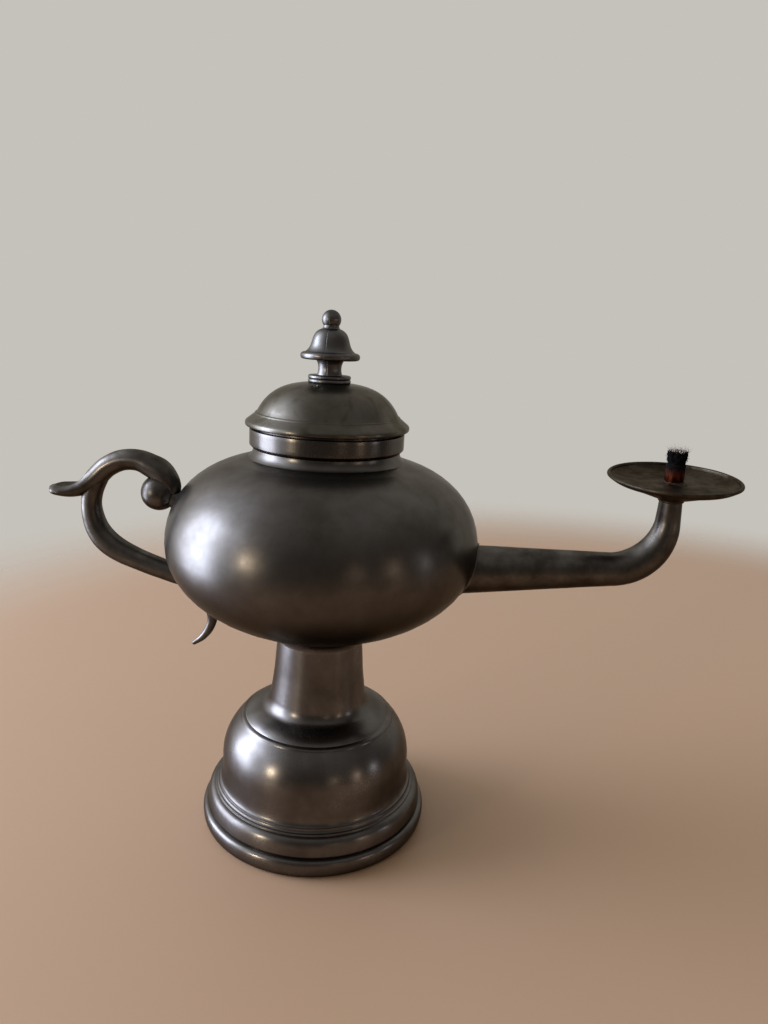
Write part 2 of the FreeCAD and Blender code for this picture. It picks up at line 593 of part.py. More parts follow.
def spout_path(place_share):
    """Centre, direction and outer radius at a place along the spout: up to 1 on its straight
    part, up to 2 on its bend and up to 3 on its upright."""
    if place_share <= 1:
        radius = between(SPOUT_ROOT_RADIUS, SPOUT_BEND_START_RADIUS, place_share)
        return between(SPOUT_ROOT, BEND_START, place_share), SPOUT_HEADING, radius
    if place_share <= 2:
        bend_share = place_share - 1
        angle = between(SPOUT_SLOPE, math.pi / 2, bend_share)
        centre = BEND_CENTRE + at(math.sin(angle), -math.cos(angle)) * SPOUT_BEND_RADIUS
        radius = between(SPOUT_BEND_START_RADIUS, SPOUT_BEND_END_RADIUS, bend_share)
        radius += SPOUT_BEND_BULGE * math.sin(math.pi * bend_share)
        return centre, at(math.cos(angle), math.sin(angle)), radius
    upright_share = place_share - 2
    radius = between(SPOUT_BEND_END_RADIUS, SPOUT_MOUTH_RADIUS, upright_share)
    return between(BEND_END, SPOUT_MOUTH, upright_share), UP, radius


def spout_tail():
    """Where the spout's line ends inside the font, and the radius that its taper has there."""
    centre, direction, radius = spout_path(0)
    length = (BEND_START - SPOUT_ROOT).Length
    taper = (SPOUT_ROOT_RADIUS - SPOUT_BEND_START_RADIUS) * SPOUT_TAIL_IN_BOWL / length
    return centre - direction * SPOUT_TAIL_IN_BOWL, radius + taper


def spout_tube(change, end_place_share=3):
    """The filled spout from inside the font to a place along it, its radius changed by change."""
    tail, tail_radius = spout_tail()
    sections = [disc_wire(tail, SPOUT_HEADING, tail_radius + change)]
    for place_share in SPOUT_PLACE_SHARES:
        if place_share <= end_place_share:
            centre, direction, radius = spout_path(place_share)
            section = disc_wire(centre, direction, radius + change)
            sections.append(lean(section) if place_share > 2 else section)
    return skin(sections)


def spout():
    """The hollow spout, let into the font's wall and bored at its mouth for the wick tube."""
    tube = spout_tube(0).cut(BOWL_TOP_IN).cut(BOWL_BASE_IN)
    tube = tube.cut(spout_tube(-SPOUT_WALL, SPOUT_HOLLOW_END_SHARE))
    bore = rod(TUBE_RADIUS + RUN_CLEARANCE, -TUBE_PLUG_DEPTH - RUN_CLEARANCE, OVERRUN)
    return tube.cut(stand_on_spout(bore))


def solder_bead(filled, wider):
    """A thin bead of solder round a piece, where it meets the font."""
    top, base = bowl_halves(-SOLDER_HEIGHT)
    return wider.common(top.fuse(base)).cut(BOWL_OUT).cut(filled)


def spout_solder():
    return solder_bead(spout_tube(0), spout_tube(SOLDER_WIDTH))


# The burner and its wick, made about the origin with heights from the spout's mouth

def stand_on_spout(shape):
    """Moves a piece that was made about the origin to the spout's mouth, and leans it."""
    shape.translate(SPOUT_MOUTH)
    return lean(shape)


def pan_dish():
    """The drip pan before it is moved to its place."""
    roll = PAN_RIM_THICKNESS / 2
    rim = PAN_RADIUS - roll
    rim_middle = PAN_RIM_HEIGHT - roll
    under = PAN_FLOOR_HEIGHT - PAN_WALL
    edges = [bezier(at(PAN_FLOOR_RADIUS, under), at(rim * PAN_UNDER_POLE_SHARE, under),
                    at(rim, rim_middle - roll)),
             line(at(rim, rim_middle - roll), at(rim, rim_middle + roll)),
             bezier(at(rim, rim_middle + roll), at(rim * PAN_TOP_POLE_SHARE, PAN_FLOOR_HEIGHT),
                    at(PAN_FLOOR_RADIUS, PAN_FLOOR_HEIGHT))]
    edges += chain(at(PAN_FLOOR_RADIUS, PAN_FLOOR_HEIGHT), at(TUBE_RADIUS, PAN_FLOOR_HEIGHT),
                   at(TUBE_RADIUS, under), at(PAN_FLOOR_RADIUS, under))
    bead = Part.makeTorus(rim, roll, at(0, rim_middle), UP)
    return spun(edges).fuse(bead).removeSplitter()


def drip_pan():
    """The shallow dish that catches drips, with a rolled rim."""
    return stand_on_spout(pan_dish())


def pan_cone():
    """The hollow cone under the pan, whose foot sits on the spout's mouth."""
    slope_share = (CONE_HEIGHT - CONE_FOOT_HEIGHT) / (CONE_RADIUS - CONE_FOOT_RADIUS)
    inner_foot = CONE_FOOT_HEIGHT + CONE_WALL
    inner_top = PAN_FLOOR_HEIGHT - PAN_WALL / 2
    inner_reach = CONE_FOOT_RADIUS + (inner_top - inner_foot) / slope_share
    edges = chain(at(TUBE_RADIUS, 0), at(CONE_FOOT_RADIUS, 0), at(CONE_FOOT_RADIUS, CONE_FOOT_HEIGHT),
                  at(CONE_RADIUS, CONE_HEIGHT), at(inner_reach, inner_top), at(CONE_FOOT_RADIUS, inner_foot),
                  at(TUBE_RADIUS, inner_foot), at(TUBE_RADIUS, 0))
    return stand_on_spout(spun(edges).cut(pan_dish()))


def wick_tube():
    """The thin tube that holds the wick and plugs into the spout's mouth."""
    return stand_on_spout(ring(TUBE_RADIUS, TUBE_RADIUS - TUBE_WALL, -TUBE_PLUG_DEPTH,
                               PAN_FLOOR_HEIGHT + TUBE_STAND))


def tube_collar():
    """The low fillet of solder round the tube on the pan's floor."""
    low = at(TUBE_COLLAR_RADIUS, PAN_FLOOR_HEIGHT)
    top = at(TUBE_RADIUS, PAN_FLOOR_HEIGHT + TUBE_COLLAR_HEIGHT)
    foot = at(TUBE_RADIUS, PAN_FLOOR_HEIGHT)
    pole = at(between(foot.x, low.x, TUBE_COLLAR_POLE_SHARE), between(foot.z, top.z, TUBE_COLLAR_POLE_SHARE))
    return stand_on_spout(spun([bezier(low, pole, top), line(top, foot), line(foot, low)]))


def wick_core():
    """The cotton wick inside the tube."""
    return stand_on_spout(rod(WICK_RADIUS, WICK_CLEARANCE - TUBE_PLUG_DEPTH,
                              PAN_FLOOR_HEIGHT + TUBE_STAND + WICK_CLEARANCE))


def wick_head():
    """The charred end of the wick, spread a little over the tube."""
    low = PAN_FLOOR_HEIGHT + TUBE_STAND + WICK_CLEARANCE
    groups = [poles_at(shares, WICK_HEAD_RADIUS, low, WICK_STAND) for shares in WICK_HEAD_SHARES]
    top = groups[-1][-1]
    edges = [bezier(*poles) for poles in groups]
    edges += chain(top, at(0, top.z), at(0, low), groups[0][0])
    return stand_on_spout(spun(edges))


def wick_tail():
    """The rest of the wick: back through the spout and over into the font."""
    start = spout_path(1)[0]
    inside = spout_tail()[0]
    down = at(SPOUT_HEADING.z, -SPOUT_HEADING.x)
    turn = math.pi / 2 - SPOUT_SLOPE

    def on_arc(angle):
        centre = inside + down * WICK_TAIL_BEND
        return centre - (down * math.cos(angle) + SPOUT_HEADING * math.sin(angle)) * WICK_TAIL_BEND

    hang = on_arc(turn)
    bend_middle = spout_path(SPOUT_BEND_MIDDLE_SHARE)[0]
    path = Part.Wire([arc(BEND_END, bend_middle, start), line(start, inside),
                      arc(inside, on_arc(turn / 2), hang), line(hang, hang - UP * WICK_TAIL_DROP)])
    return path.makePipeShell([disc_wire(BEND_END, UP, WICK_TAIL_RADIUS)], True, True)


# The handle

def handle_point(place_share):
    """A point of the handle, from shares of its stand-out and of its rise."""
    out_share, rise_share = place_share
    return at(-BOWL_RADIUS - HANDLE_STAND_OUT * out_share, BOWL_MIDDLE + HANDLE_RISE * rise_share)


def headings(points):
    """The direction of a smooth curve at each of the points that it goes through."""
    curve = Part.BSplineCurve()
    curve.interpolate(points)
    return [curve.tangent(curve.parameter(point))[0] for point in points]


def oval_wire(centre, heading, height, width):
    """An oval section, square to its path, from its half height and half width."""
    up = heading.cross(ACROSS)
    turns = [2 * math.pi * step / OVAL_STEPS for step in range(OVAL_STEPS)]
    curve = Part.BSplineCurve()
    curve.interpolate(Points=[centre + ACROSS * (width * math.cos(turn)) + up * (height * math.sin(turn))
                              for turn in turns], PeriodicFlag=True)
    return Part.Wire(curve.toShape())


def scroll_bar():
    """The bar of the upper scroll, from the tip of its leaf over the arch to its curl."""
    points = [handle_point(place) for place in SCROLL_PLACE_SHARES]
    sizes = zip(SCROLL_HEIGHT_SHARES, SCROLL_WIDTH_SHARES)
    return skin([oval_wire(point, heading, SCROLL_HALF_HEIGHT * height_share, SCROLL_HALF_WIDTH * width_share)
                 for point, heading, (height_share, width_share) in zip(points, headings(points), sizes)])


def leaf_dish():
    """The hollow on top of the leaf, in which the thumb rests."""
    return Part.makeSphere(DISH_RADIUS, handle_point(DISH_PLACE_SHARE) + UP * (DISH_RADIUS - DISH_DEPTH))


def handle_pad(change=0):
    """The short foot by which the upper scroll stands on the font."""
    start = handle_point(PAD_START_SHARE)
    reach = handle_point(PAD_END_SHARE) - start
    return Part.makeCylinder(PAD_RADIUS + change, reach.Length, start, reach)


def scroll_blank():
    """The upper scroll before it is fitted to the font."""
    ball = Part.makeSphere(SCROLL_BALL_RADIUS, handle_point(SCROLL_BALL_PLACE_SHARE))
    return scroll_bar().cut(leaf_dish()).fuse([ball, handle_pad()])


def limb_blank(change=0):
    """The lower limb before it is fitted, its radius changed by change."""
    points = [handle_point(place) for place in LIMB_PLACE_SHARES]
    return skin([disc_wire(point, heading, LIMB_RADIUS * radius_share + change)
                 for point, heading, radius_share in zip(points, headings(points), LIMB_RADIUS_SHARES)])


def handle_scroll():
    """The upper scroll: a curled ball end, the arch and the leaf."""
    return scroll_blank().cut(BOWL_OUT)


def handle_limb():
    """The lower limb: it leaves the scroll under the leaf, meets the font and curls to a tip."""
    return limb_blank().cut(BOWL_OUT).cut(scroll_blank())


def handle_solder():
    """The solder round the handle's two joints with the font."""
    pad = solder_bead(scroll_blank(), handle_pad(SOLDER_WIDTH))
    foot = solder_bead(limb_blank(), limb_blank(SOLDER_WIDTH))
    return Part.makeCompound(pad.Solids + foot.Solids)


PIECES = {
    "foot_bell": foot_bell,
    "stem": stem,
    "stem_collar": stem_collar,
    "bowl_lower": bowl_lower,
    "bowl_upper": bowl_upper,
    "neck_band": neck_band,
    "lid_dome": lid_dome,
    "lid_bezel": lid_bezel,
    "finial_base": finial_base,
    "finial": finial,
    "finial_rivet": finial_rivet,
    "spout": spout,
    "spout_solder": spout_solder,
    "drip_pan": drip_pan,
    "pan_cone": pan_cone,
    "wick_tube": wick_tube,
    "tube_collar": tube_collar,
    "wick_core": wick_core,
    "wick_head": wick_head,
    "wick_tail": wick_tail,
    "handle_scroll": handle_scroll,
    "handle_limb": handle_limb,
    "handle_solder": handle_solder,
}

for name, make in PIECES.items():
    write(name, make())
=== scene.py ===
"""The looks of a pewter oil lamp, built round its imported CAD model.

Outlines and sections are drawn in millimetres, in the same frame as the CAD model, and each
piece is brought to metres when it is finished.
"""
import logging
import math
import random
from collections.abc import Sequence
from dataclasses import dataclass, replace
from enum import Enum
from itertools import accumulate

import bmesh
import bpy
from mathutils import Matrix, Vector, noise
from mathutils.geometry import interpolate_bezier


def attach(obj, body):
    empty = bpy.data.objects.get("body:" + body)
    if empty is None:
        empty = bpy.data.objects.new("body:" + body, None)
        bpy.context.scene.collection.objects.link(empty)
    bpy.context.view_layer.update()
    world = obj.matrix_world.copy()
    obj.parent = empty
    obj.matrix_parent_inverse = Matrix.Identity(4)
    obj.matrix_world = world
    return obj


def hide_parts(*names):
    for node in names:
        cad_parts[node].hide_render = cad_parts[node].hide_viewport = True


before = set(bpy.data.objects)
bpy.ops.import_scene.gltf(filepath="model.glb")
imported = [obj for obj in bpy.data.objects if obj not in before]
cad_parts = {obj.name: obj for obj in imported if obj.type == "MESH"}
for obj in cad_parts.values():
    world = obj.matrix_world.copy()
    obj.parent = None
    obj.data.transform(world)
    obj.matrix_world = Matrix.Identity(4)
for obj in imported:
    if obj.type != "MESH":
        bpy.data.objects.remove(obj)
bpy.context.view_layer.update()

MM = 0.001
FULL_TURN = 2 * math.pi
UP = Vector((0, 0, 1))
ACROSS = Vector((0, 1, 0))
# The angle in degrees from which an edge shows as a line
SHARP = 38.0
log = logging.getLogger("lamp")

BMesh = bmesh.types.BMesh
Socket = bpy.types.NodeSocket
Input = Socket | float | tuple[float, ...] | str
Pair = tuple[float, float]
Pairs = tuple[Pair, ...]
Triple = tuple[float, float, float]


class Body(Enum):
    """The bodies that the pieces ride on."""

    LAMP = "lamp"
    LID = "lid"
    BURNER = "burner"
    WICK = "wick"


class Join(Enum):
    """How two closed meshes are combined."""

    ADD = "UNION"
    CUT = "DIFFERENCE"


# Node trees


def linear(colour: str) -> tuple[float, float, float, float]:
    """Turns an sRGB hex colour such as "#8d8883" into linear red, green, blue and alpha."""
    shares = [int(colour[place:place + 2], 16) / 255 for place in (1, 3, 5)]
    return (*[share / 12.92 if share <= 0.04045 else ((share + 0.055) / 1.055) ** 2.4 for share in shares], 1.0)


def per(size: float) -> float:
    """The scale of a pattern on Object coordinates, from the size in millimetres of its grain."""
    return 1 / (size * MM)


class Tree:
    """The node tree of a material or of the world, with short ways to add nodes to it."""

    MIX_SHARE, MIX_FIRST, MIX_SECOND, MIX_RESULT = 0, 6, 7, 2
    SCALAR_RESULTS = ("LENGTH", "DISTANCE", "DOT_PRODUCT")

    def __init__(self, owner: bpy.types.Material | bpy.types.World) -> None:
        """Starts an empty tree in its owner."""
        owner.use_nodes = True
        self.tree = owner.node_tree
        self.tree.nodes.clear()

    def add(self, kind: str, inputs: dict[str | int, Input] | None = None, **settings: object) -> bpy.types.Node:
        """Adds one node.

        Args:
            kind: The node's type, without its "ShaderNode".
            inputs: For each input, the socket that feeds it, its value or its hex colour.
            settings: The node's own properties.

        Returns:
            The new node.
        """
        node = self.tree.nodes.new("ShaderNode" + kind)
        for name, value in settings.items():
            setattr(node, name, value)
        for key, value in (inputs or {}).items():
            if isinstance(value, Socket):
                self.tree.links.new(value, node.inputs[key])
            else:
                node.inputs[key].default_value = linear(value) if isinstance(value, str) else value
        return node

    def point(self, kind: str = "Object") -> Socket:
        """The place, the direction or the normal that is painted."""
        return self.add("TexCoord").outputs[kind]

    def mapped(self, point: Input, kind: str = "POINT", **inputs: Input) -> Socket:
        """A point after a move, a turn or a stretch."""
        return self.add("Mapping", {"Vector": point, **inputs}, vector_type=kind).outputs["Vector"]

    def part(self, vector: Input, name: str) -> Socket:
        """The X, Y or Z of a vector."""
        return self.add("SeparateXYZ", {0: vector}).outputs[name]

    def scalar(self, operation: str, *values: Input) -> Socket:
        """The result of one operation on numbers."""
        return self.add("Math", dict(enumerate(values)), operation=operation).outputs[0]

    def vector(self, operation: str, *values: Input, **named: Input) -> Socket:
        """The result of one operation on vectors."""
        node = self.add("VectorMath", {**dict(enumerate(values)), **named}, operation=operation)
        return node.outputs["Value" if operation in self.SCALAR_RESULTS else "Vector"]

    def noise(self, point: Input, scale: float, detail: float, inputs: dict[str, Input] | None = None,
              **settings: object) -> Socket:
        """A soft grain, from 0 to 1."""
        given = {"Vector": point, "Scale": scale, "Detail": detail, **(inputs or {})}
        return self.add("TexNoise", given, **settings).outputs["Fac"]

    def near(self, reach: float, inside: bool = False) -> Socket:
        """How open a surface is within a reach in millimetres: low in hollows or, seen from inside, on edges."""
        return self.add("AmbientOcclusion", {"Distance": reach * MM}, only_local=True, samples=8,
                        inside=inside).outputs["AO"]

    def ranged(self, value: Input, low: float, high: float, to_low: float = 0.0, to_high: float = 1.0,
               **settings: object) -> Socket:
        """A value whose stretch from low to high becomes one from to_low to to_high."""
        given = {"Value": value, "From Min": low, "From Max": high, "To Min": to_low, "To Max": to_high}
        return self.add("MapRange", given, **settings).outputs["Result"]

    def layered(self, colour: Input, *layers: tuple[Input, Input]) -> Socket:
        """A colour under layers of paint.

        Args:
            colour: The ground.
            layers: The share and the colour of each layer, from the lowest up.

        Returns:
            The colour of them all.
        """
        for share, paint in layers:
            given = {self.MIX_SHARE: share, self.MIX_FIRST: colour, self.MIX_SECOND: paint}
            colour = self.add("Mix", given, data_type="RGBA").outputs[self.MIX_RESULT]
        return colour

    def raised(self, height: Input, depth: float, strength: float = 1.0, under: Socket | None = None) -> Socket:
        """The normal of a surface whose height, from 0 to 1, is a depth in millimetres, over another normal."""
        given = {"Height": height, "Strength": strength, "Distance": depth * MM}
        return self.add("Bump", given if under is None else {**given, "Normal": under}).outputs["Normal"]


# Finishes


@dataclass(frozen=True)
class Finish:
    """What every finish has: its name, the record's slot that it stands for and the place of its axis."""

    name: str
    slot: str
    axis_place: Triple = (0.0, 0.0, 0.0)
    axis_turn: Triple = (0.0, 0.0, 0.0)

    def material(self) -> bpy.types.Material:
        """The finish's material, made the first time that it is asked for."""
        found = bpy.data.materials.get(self.name)
        if found is None:
            found = bpy.data.materials.new(self.name)
            tree = Tree(found)
            tree.add("OutputMaterial", {"Surface": self.shader(tree)})
        return found

    def shader(self, tree: Tree) -> Socket:
        """The finish's surface, in the given tree."""
        raise NotImplementedError

    def place(self, tree: Tree) -> Socket:
        """The place that is painted, with the finish's axis as its Z."""
        return tree.mapped(tree.point(), "TEXTURE", Location=self.axis_place, Rotation=self.axis_turn)


@dataclass(frozen=True)
class Pewter(Finish):
    """Old pewter: a dark grey tin with a warm film of oxide, rubbed brighter on its edges.

    Turned forms also have the fine rings that the lathe and the polishing cloth leave. Sizes and depths
    are in millimetres, but stain_size is a share of cloud, and each range is the stretch of a grain over
    which its layer comes in.
    """

    rubbed: str = "#6e6b68"
    bloom: str = "#585450"
    # Dirt and painted shade: a darker colour in hollows, recesses and gaps between parts, found by ambient occlusion
    grime_and_shade: str = "#241f1b"
    grime_and_shade_share: float = 0.85
    grime_and_shade_width: float = 1.6
    grime_and_shade_range: Pair = (0.35, 0.85)
    grime_rough: float = 0.2
    stain: str = "#4f4b44"
    stained: float = 0.35
    stain_size: float = 0.6
    stain_range: Pair = (0.52, 0.72)
    # Faces that look down: painted shade and a painted reflection of a brown tabletop, in dark brown
    under: str = "#33291f"
    underside_shade_share: float = 0.85
    underside_shade_range: Pair = (0.15, -0.85)
    tint: tuple[float, ...] = (0.55, 0.53, 0.5, 1.0)
    gloss: float = 0.28
    dull: float = 0.34
    turned: float = 0.6
    ring_depth: float = 0.0012
    ring_spacing: float = 0.3
    ring_run: float = 2.0
    streak_depth: float = 0.0
    streak_run: float = 26.0
    streak_length: float = 14.0
    scratch_depth: float = 0.0012
    scratch_width: float = 0.5
    scratch_turn: Triple = (0.5, 0.9, 0.3)
    scratch_stretch: Triple = (1.0, 0.09, 1.0)
    cloud: float = 17.0
    cloud_range: Pair = (0.34, 0.66)
    speck: float = 0.9
    speck_range: Pair = (0.3, 0.7)
    speck_least: float = 0.3
    speck_rough: float = 0.08
    pit_spacing: float = 9.0
    pit_radius: float = 0.15
    pit_depth: float = 0.05
    dent_size: float = 13.0
    dent_depth: float = 0.02
    wear_width: float = 0.6
    wear_range: Pair = (0.62, 0.92)

    def around(self, tree: Tree, place: Socket, run: float, spacing: float) -> Socket:
        """A grain about the axis.

        Args:
            tree: The node tree.
            place: The point, with the axis as its Z.
            run: How fast the grain changes as it goes round.
            spacing: How far it reaches along the axis and outwards, in millimetres.

        Returns:
            The grain's value, from 0 to 1.
        """
        flat = tree.vector("MULTIPLY", place, (1, 1, 0))
        slow = tree.vector("SCALE", tree.vector("NORMALIZE", flat), Scale=run)
        along = tree.vector("MULTIPLY_ADD", place, (0, 0, per(spacing)), slow)
        out = tree.scalar("MULTIPLY", tree.vector("LENGTH", flat), per(spacing))
        return tree.noise(along, scale=1.0, detail=2.0, inputs={"W": out}, noise_dimensions="4D")

    def relief(self, tree: Tree, place: Socket) -> Socket:
        """The normal of a surface with soft dents, pits, cloth scratches, lathe rings and chatter."""
        pits = tree.add("TexVoronoi", {"Vector": place, "Scale": per(self.pit_spacing)}).outputs["Distance"]
        leaned = tree.mapped(place, Rotation=self.scratch_turn, Scale=self.scratch_stretch)
        layers = [(tree.noise(place, per(self.dent_size), detail=1.0), self.dent_depth),
                  (tree.ranged(pits, 0.0, self.pit_radius / self.pit_spacing), self.pit_depth),
                  (tree.noise(leaned, per(self.scratch_width), detail=2.0), self.scratch_depth)]
        for depth, run, spacing in ((self.ring_depth, self.ring_run, self.ring_spacing),
                                    (self.streak_depth, self.streak_run, self.streak_length)):
            if depth:
                layers.append((self.around(tree, place, run, spacing), depth))
        normal = None
        for height, depth in layers:
            normal = tree.raised(height, depth, under=normal)
        return normal

    def shader(self, tree: Tree) -> Socket:
        """Soft clouds of oxide, stains, dirt and painted shade in the hollows and wear on the edges, under the
        relief.

        Faces that look down are painted browner and darker, as painted shade and a painted reflection of a brown
        tabletop. The marks of turning run round the axis, so they draw each reflection out across them.
        """
        place, normal = self.place(tree), tree.point("Normal")
        cloud = tree.noise(place, per(self.cloud), detail=4.0, inputs={"Roughness": 0.6})
        spots = tree.noise(place, per(self.cloud * self.stain_size), detail=6.0, inputs={"Distortion": 0.6})
        speck = tree.noise(place, per(self.speck), detail=3.0)
        bloom = tree.ranged(cloud, *self.cloud_range)
        # Painted shade with dirt: darkens the colour where ambient occlusion finds a hollow, a recess or a gap
        dirt_and_shade = tree.ranged(tree.near(self.grime_and_shade_width), *self.grime_and_shade_range, self.grime_and_shade_share, 0.0)
        edge = tree.ranged(tree.near(self.wear_width, inside=True), *self.wear_range, 1.0, 0.0)
        worn = tree.scalar("MULTIPLY", edge, tree.ranged(speck, *self.speck_range, self.speck_least, 1.0))
        colour = tree.layered(
            self.rubbed, (bloom, self.bloom),
            (tree.ranged(spots, *self.stain_range, 0.0, self.stained), self.stain),
            # Painted shade and a painted reflection of a brown tabletop on faces that look down
            (tree.ranged(tree.part(normal, "Z"), *self.underside_shade_range, 0.0, self.underside_shade_share), self.under),
            (worn, self.rubbed), (dirt_and_shade, self.grime_and_shade))
        rough = tree.ranged(bloom, 0.0, 1.0, self.gloss, self.dull)
        for grain, more in ((speck, self.speck_rough), (dirt_and_shade, self.grime_rough)):
            rough = tree.scalar("MULTIPLY_ADD", grain, more, rough)
        inputs = {"Base Color": colour, "Metallic": 1.0, "Roughness": rough, "Specular Tint": self.tint,
                  "Anisotropic": self.turned, "Normal": self.relief(tree, place)}
        if self.turned:
            round_it = tree.vector("CROSS_PRODUCT", place, tuple(UP))
            inputs["Tangent"] = tree.vector("CROSS_PRODUCT", normal, round_it)
        return tree.add("BsdfPrincipled", inputs).outputs[0]


@dataclass(frozen=True)
class Copper(Finish):
    """Thin copper tube, browned by heat, and black with soot at its mouth."""

    bright: str = "#7a3a26"
    brown: str = "#33140d"
    soot: str = "#0a0707"
    soot_low: float = 0.0
    soot_high: float = 0.0
    streak: float = 1.3
    streak_stretch: Triple = (1.0, 1.0, 0.18)
    streak_range: Pair = (0.38, 0.62)
    streak_depth: float = 0.03
    streak_strength: float = 0.6
    ragged: float = 4.0
    rough: Pair = (0.28, 0.8)
    metal: Pair = (1.0, 0.1)
    shine: float = 0.12

    def shader(self, tree: Tree) -> Socket:
        """Streaks of brown oxide down the tube, under soot that thins out below its mouth."""
        place = self.place(tree)
        streak = tree.noise(tree.mapped(place, Scale=self.streak_stretch), per(self.streak), detail=4.0)
        height = tree.scalar("MULTIPLY_ADD", streak, self.ragged * MM, tree.part(place, "Z"))
        sooty = tree.ranged(height, self.soot_low * MM, self.soot_high * MM)
        colour = tree.layered(self.brown, (tree.ranged(streak, *self.streak_range), self.bright), (sooty, self.soot))
        return tree.add("BsdfPrincipled", {
            "Base Color": colour, "Metallic": tree.ranged(sooty, 0.0, 1.0, *self.metal),
            "Roughness": tree.ranged(sooty, 0.0, 1.0, *self.rough), "Specular IOR Level": self.shine,
            "Normal": tree.raised(streak, self.streak_depth, self.streak_strength)}).outputs[0]


@dataclass(frozen=True)
class Cotton(Finish):
    """Braided cotton, new and pale or burnt to a crumbly black: dull, with a soft fuzz."""

    light: str = "#d8cdb8"
    dark: str = "#a89a80"
    grain: float = 0.5
    grain_range: Pair = (0.35, 0.65)
    grain_depth: float = 0.15
    rough: float = 0.95
    fuzz: float = 0.15
    shine: float = 0.5

    def shader(self, tree: Tree) -> Socket:
        """Mottled threads."""
        grain = tree.noise(tree.point(), per(self.grain), detail=4.0)
        colour = tree.layered(self.dark, (tree.ranged(grain, *self.grain_range), self.light))
        return tree.add("BsdfPrincipled", {
            "Base Color": colour, "Roughness": self.rough, "Sheen Weight": self.fuzz,
            "Specular IOR Level": self.shine, "Normal": tree.raised(grain, self.grain_depth)}).outputs[0]


# Shaping


class Outline:
    """An outline in the plane through the lamp's axis, to be spun into a turned piece."""

    LINE_STEP = 1.5
    CURVE_STEPS = 14
    ARC_STEP = 7.5
    MERGE = 1e-4

    def __init__(self, reach: float, height: float) -> None:
        """Starts an outline at a reach from the axis and a height."""
        self.mesh = bmesh.new()
        self.start = self.end = self.mesh.verts.new((reach, 0, height))
        self.corners: dict[float, list[bmesh.types.BMVert]] = {}

    def to(self, point: Vector) -> None:
        """Adds the edge to one more point."""
        corner = self.mesh.verts.new(point)
        self.mesh.edges.new((self.end, corner))
        self.end = corner

    def ease(self, soft: float) -> None:
        """Marks the last corner to be eased by so much."""
        if soft:
            self.corners.setdefault(soft, []).append(self.end)

    def line(self, *points: Pair, soft: float = 0.0) -> None:
        """Draws straight stretches.

        Args:
            points: The reach and height at which each of them ends.
            soft: How far the corner at each end is eased.
        """
        for reach, height in points:
            begin, finish = self.end.co.copy(), Vector((reach, 0, height))
            steps = max(1, round((finish - begin).length / self.LINE_STEP))
            for step in range(1, steps + 1):
                self.to(begin.lerp(finish, step / steps))
            self.ease(soft)

    def curve(self, *poles: Pair, soft: float = 0.0, until: float | None = None) -> None:
        """Draws a curve that one or two poles pull on its way to its last point.

        Args:
            poles: The reach and height of each pole, and of the end.
            soft: How far the corner at its end is eased.
            until: A reach at which the curve is left before its end.
        """
        begin = self.end.co.copy()
        *middle, finish = [Vector((reach, 0, height)) for reach, height in poles]
        if len(middle) == 1:
            middle = [end.lerp(middle[0], 2 / 3) for end in (begin, finish)]
        for point in interpolate_bezier(begin, *middle, finish, self.CURVE_STEPS + 1)[1:]:
            if until is None or point.x > until:
                self.to(point)
        self.ease(soft)

    def arc(self, reach: float, height: float, turn: float) -> None:
        """Draws an arc of a circle.

        Args:
            reach: How far the circle's centre is from the axis.
            height: The height of its centre.
            turn: The angle that the arc sweeps in degrees, positive from outwards to upwards.
        """
        centre = Vector((reach, 0, height))
        arm = self.end.co - centre
        steps = max(3, round(abs(turn) / self.ARC_STEP))
        for step in range(1, steps + 1):
            point = centre + Matrix.Rotation(-math.radians(turn) * step / steps, 3, "Y") @ arm
            self.to(Vector((max(point.x, 0.0), 0, point.z)))

    def turned(self, sides: int, closed: bool = True) -> BMesh:
        """Spins the outline once round the lamp's axis.

        Args:
            sides: How many steps the turn has.
            closed: Whether an edge closes the outline. One that begins and ends on the axis has none.

        Returns:
            The closed mesh.
        """
        if closed:
            self.mesh.edges.new((self.end, self.start))
        for size, corners in self.corners.items():
            bmesh.ops.bevel(self.mesh, geom=corners, offset=size, offset_type="OFFSET", segments=3, profile=0.5,
                            affect="VERTICES", clamp_overlap=True, material=-1)
        bmesh.ops.spin(self.mesh, geom=self.mesh.verts[:] + self.mesh.edges[:], cent=(0, 0, 0), axis=UP,
                       angle=FULL_TURN, steps=sides, use_merge=True)
        return tidied(self.mesh)


def tidied(mesh: BMesh) -> BMesh:
    """Merges what lies together and turns every face outwards."""
    bmesh.ops.remove_doubles(mesh, verts=mesh.verts, dist=Outline.MERGE)
    bmesh.ops.recalc_face_normals(mesh, faces=mesh.faces)
    return mesh


@dataclass(frozen=True)
class Section:
    """One oval section of a swept form: its centre, the way it faces and its half sizes."""

    centre: Vector
    heading: Vector
    height: float
    width: float
    side: Vector = ACROSS

    def place(self) -> Matrix:
        """The transform that brings a unit circle to this section."""
        side = (self.side - self.heading * self.side.dot(self.heading)).normalized()
        turn = Matrix((side, self.heading.cross(side), self.heading)).transposed().to_4x4()
        return Matrix.Translation(self.centre) @ turn @ Matrix.Diagonal((self.width, self.height, 1, 1))


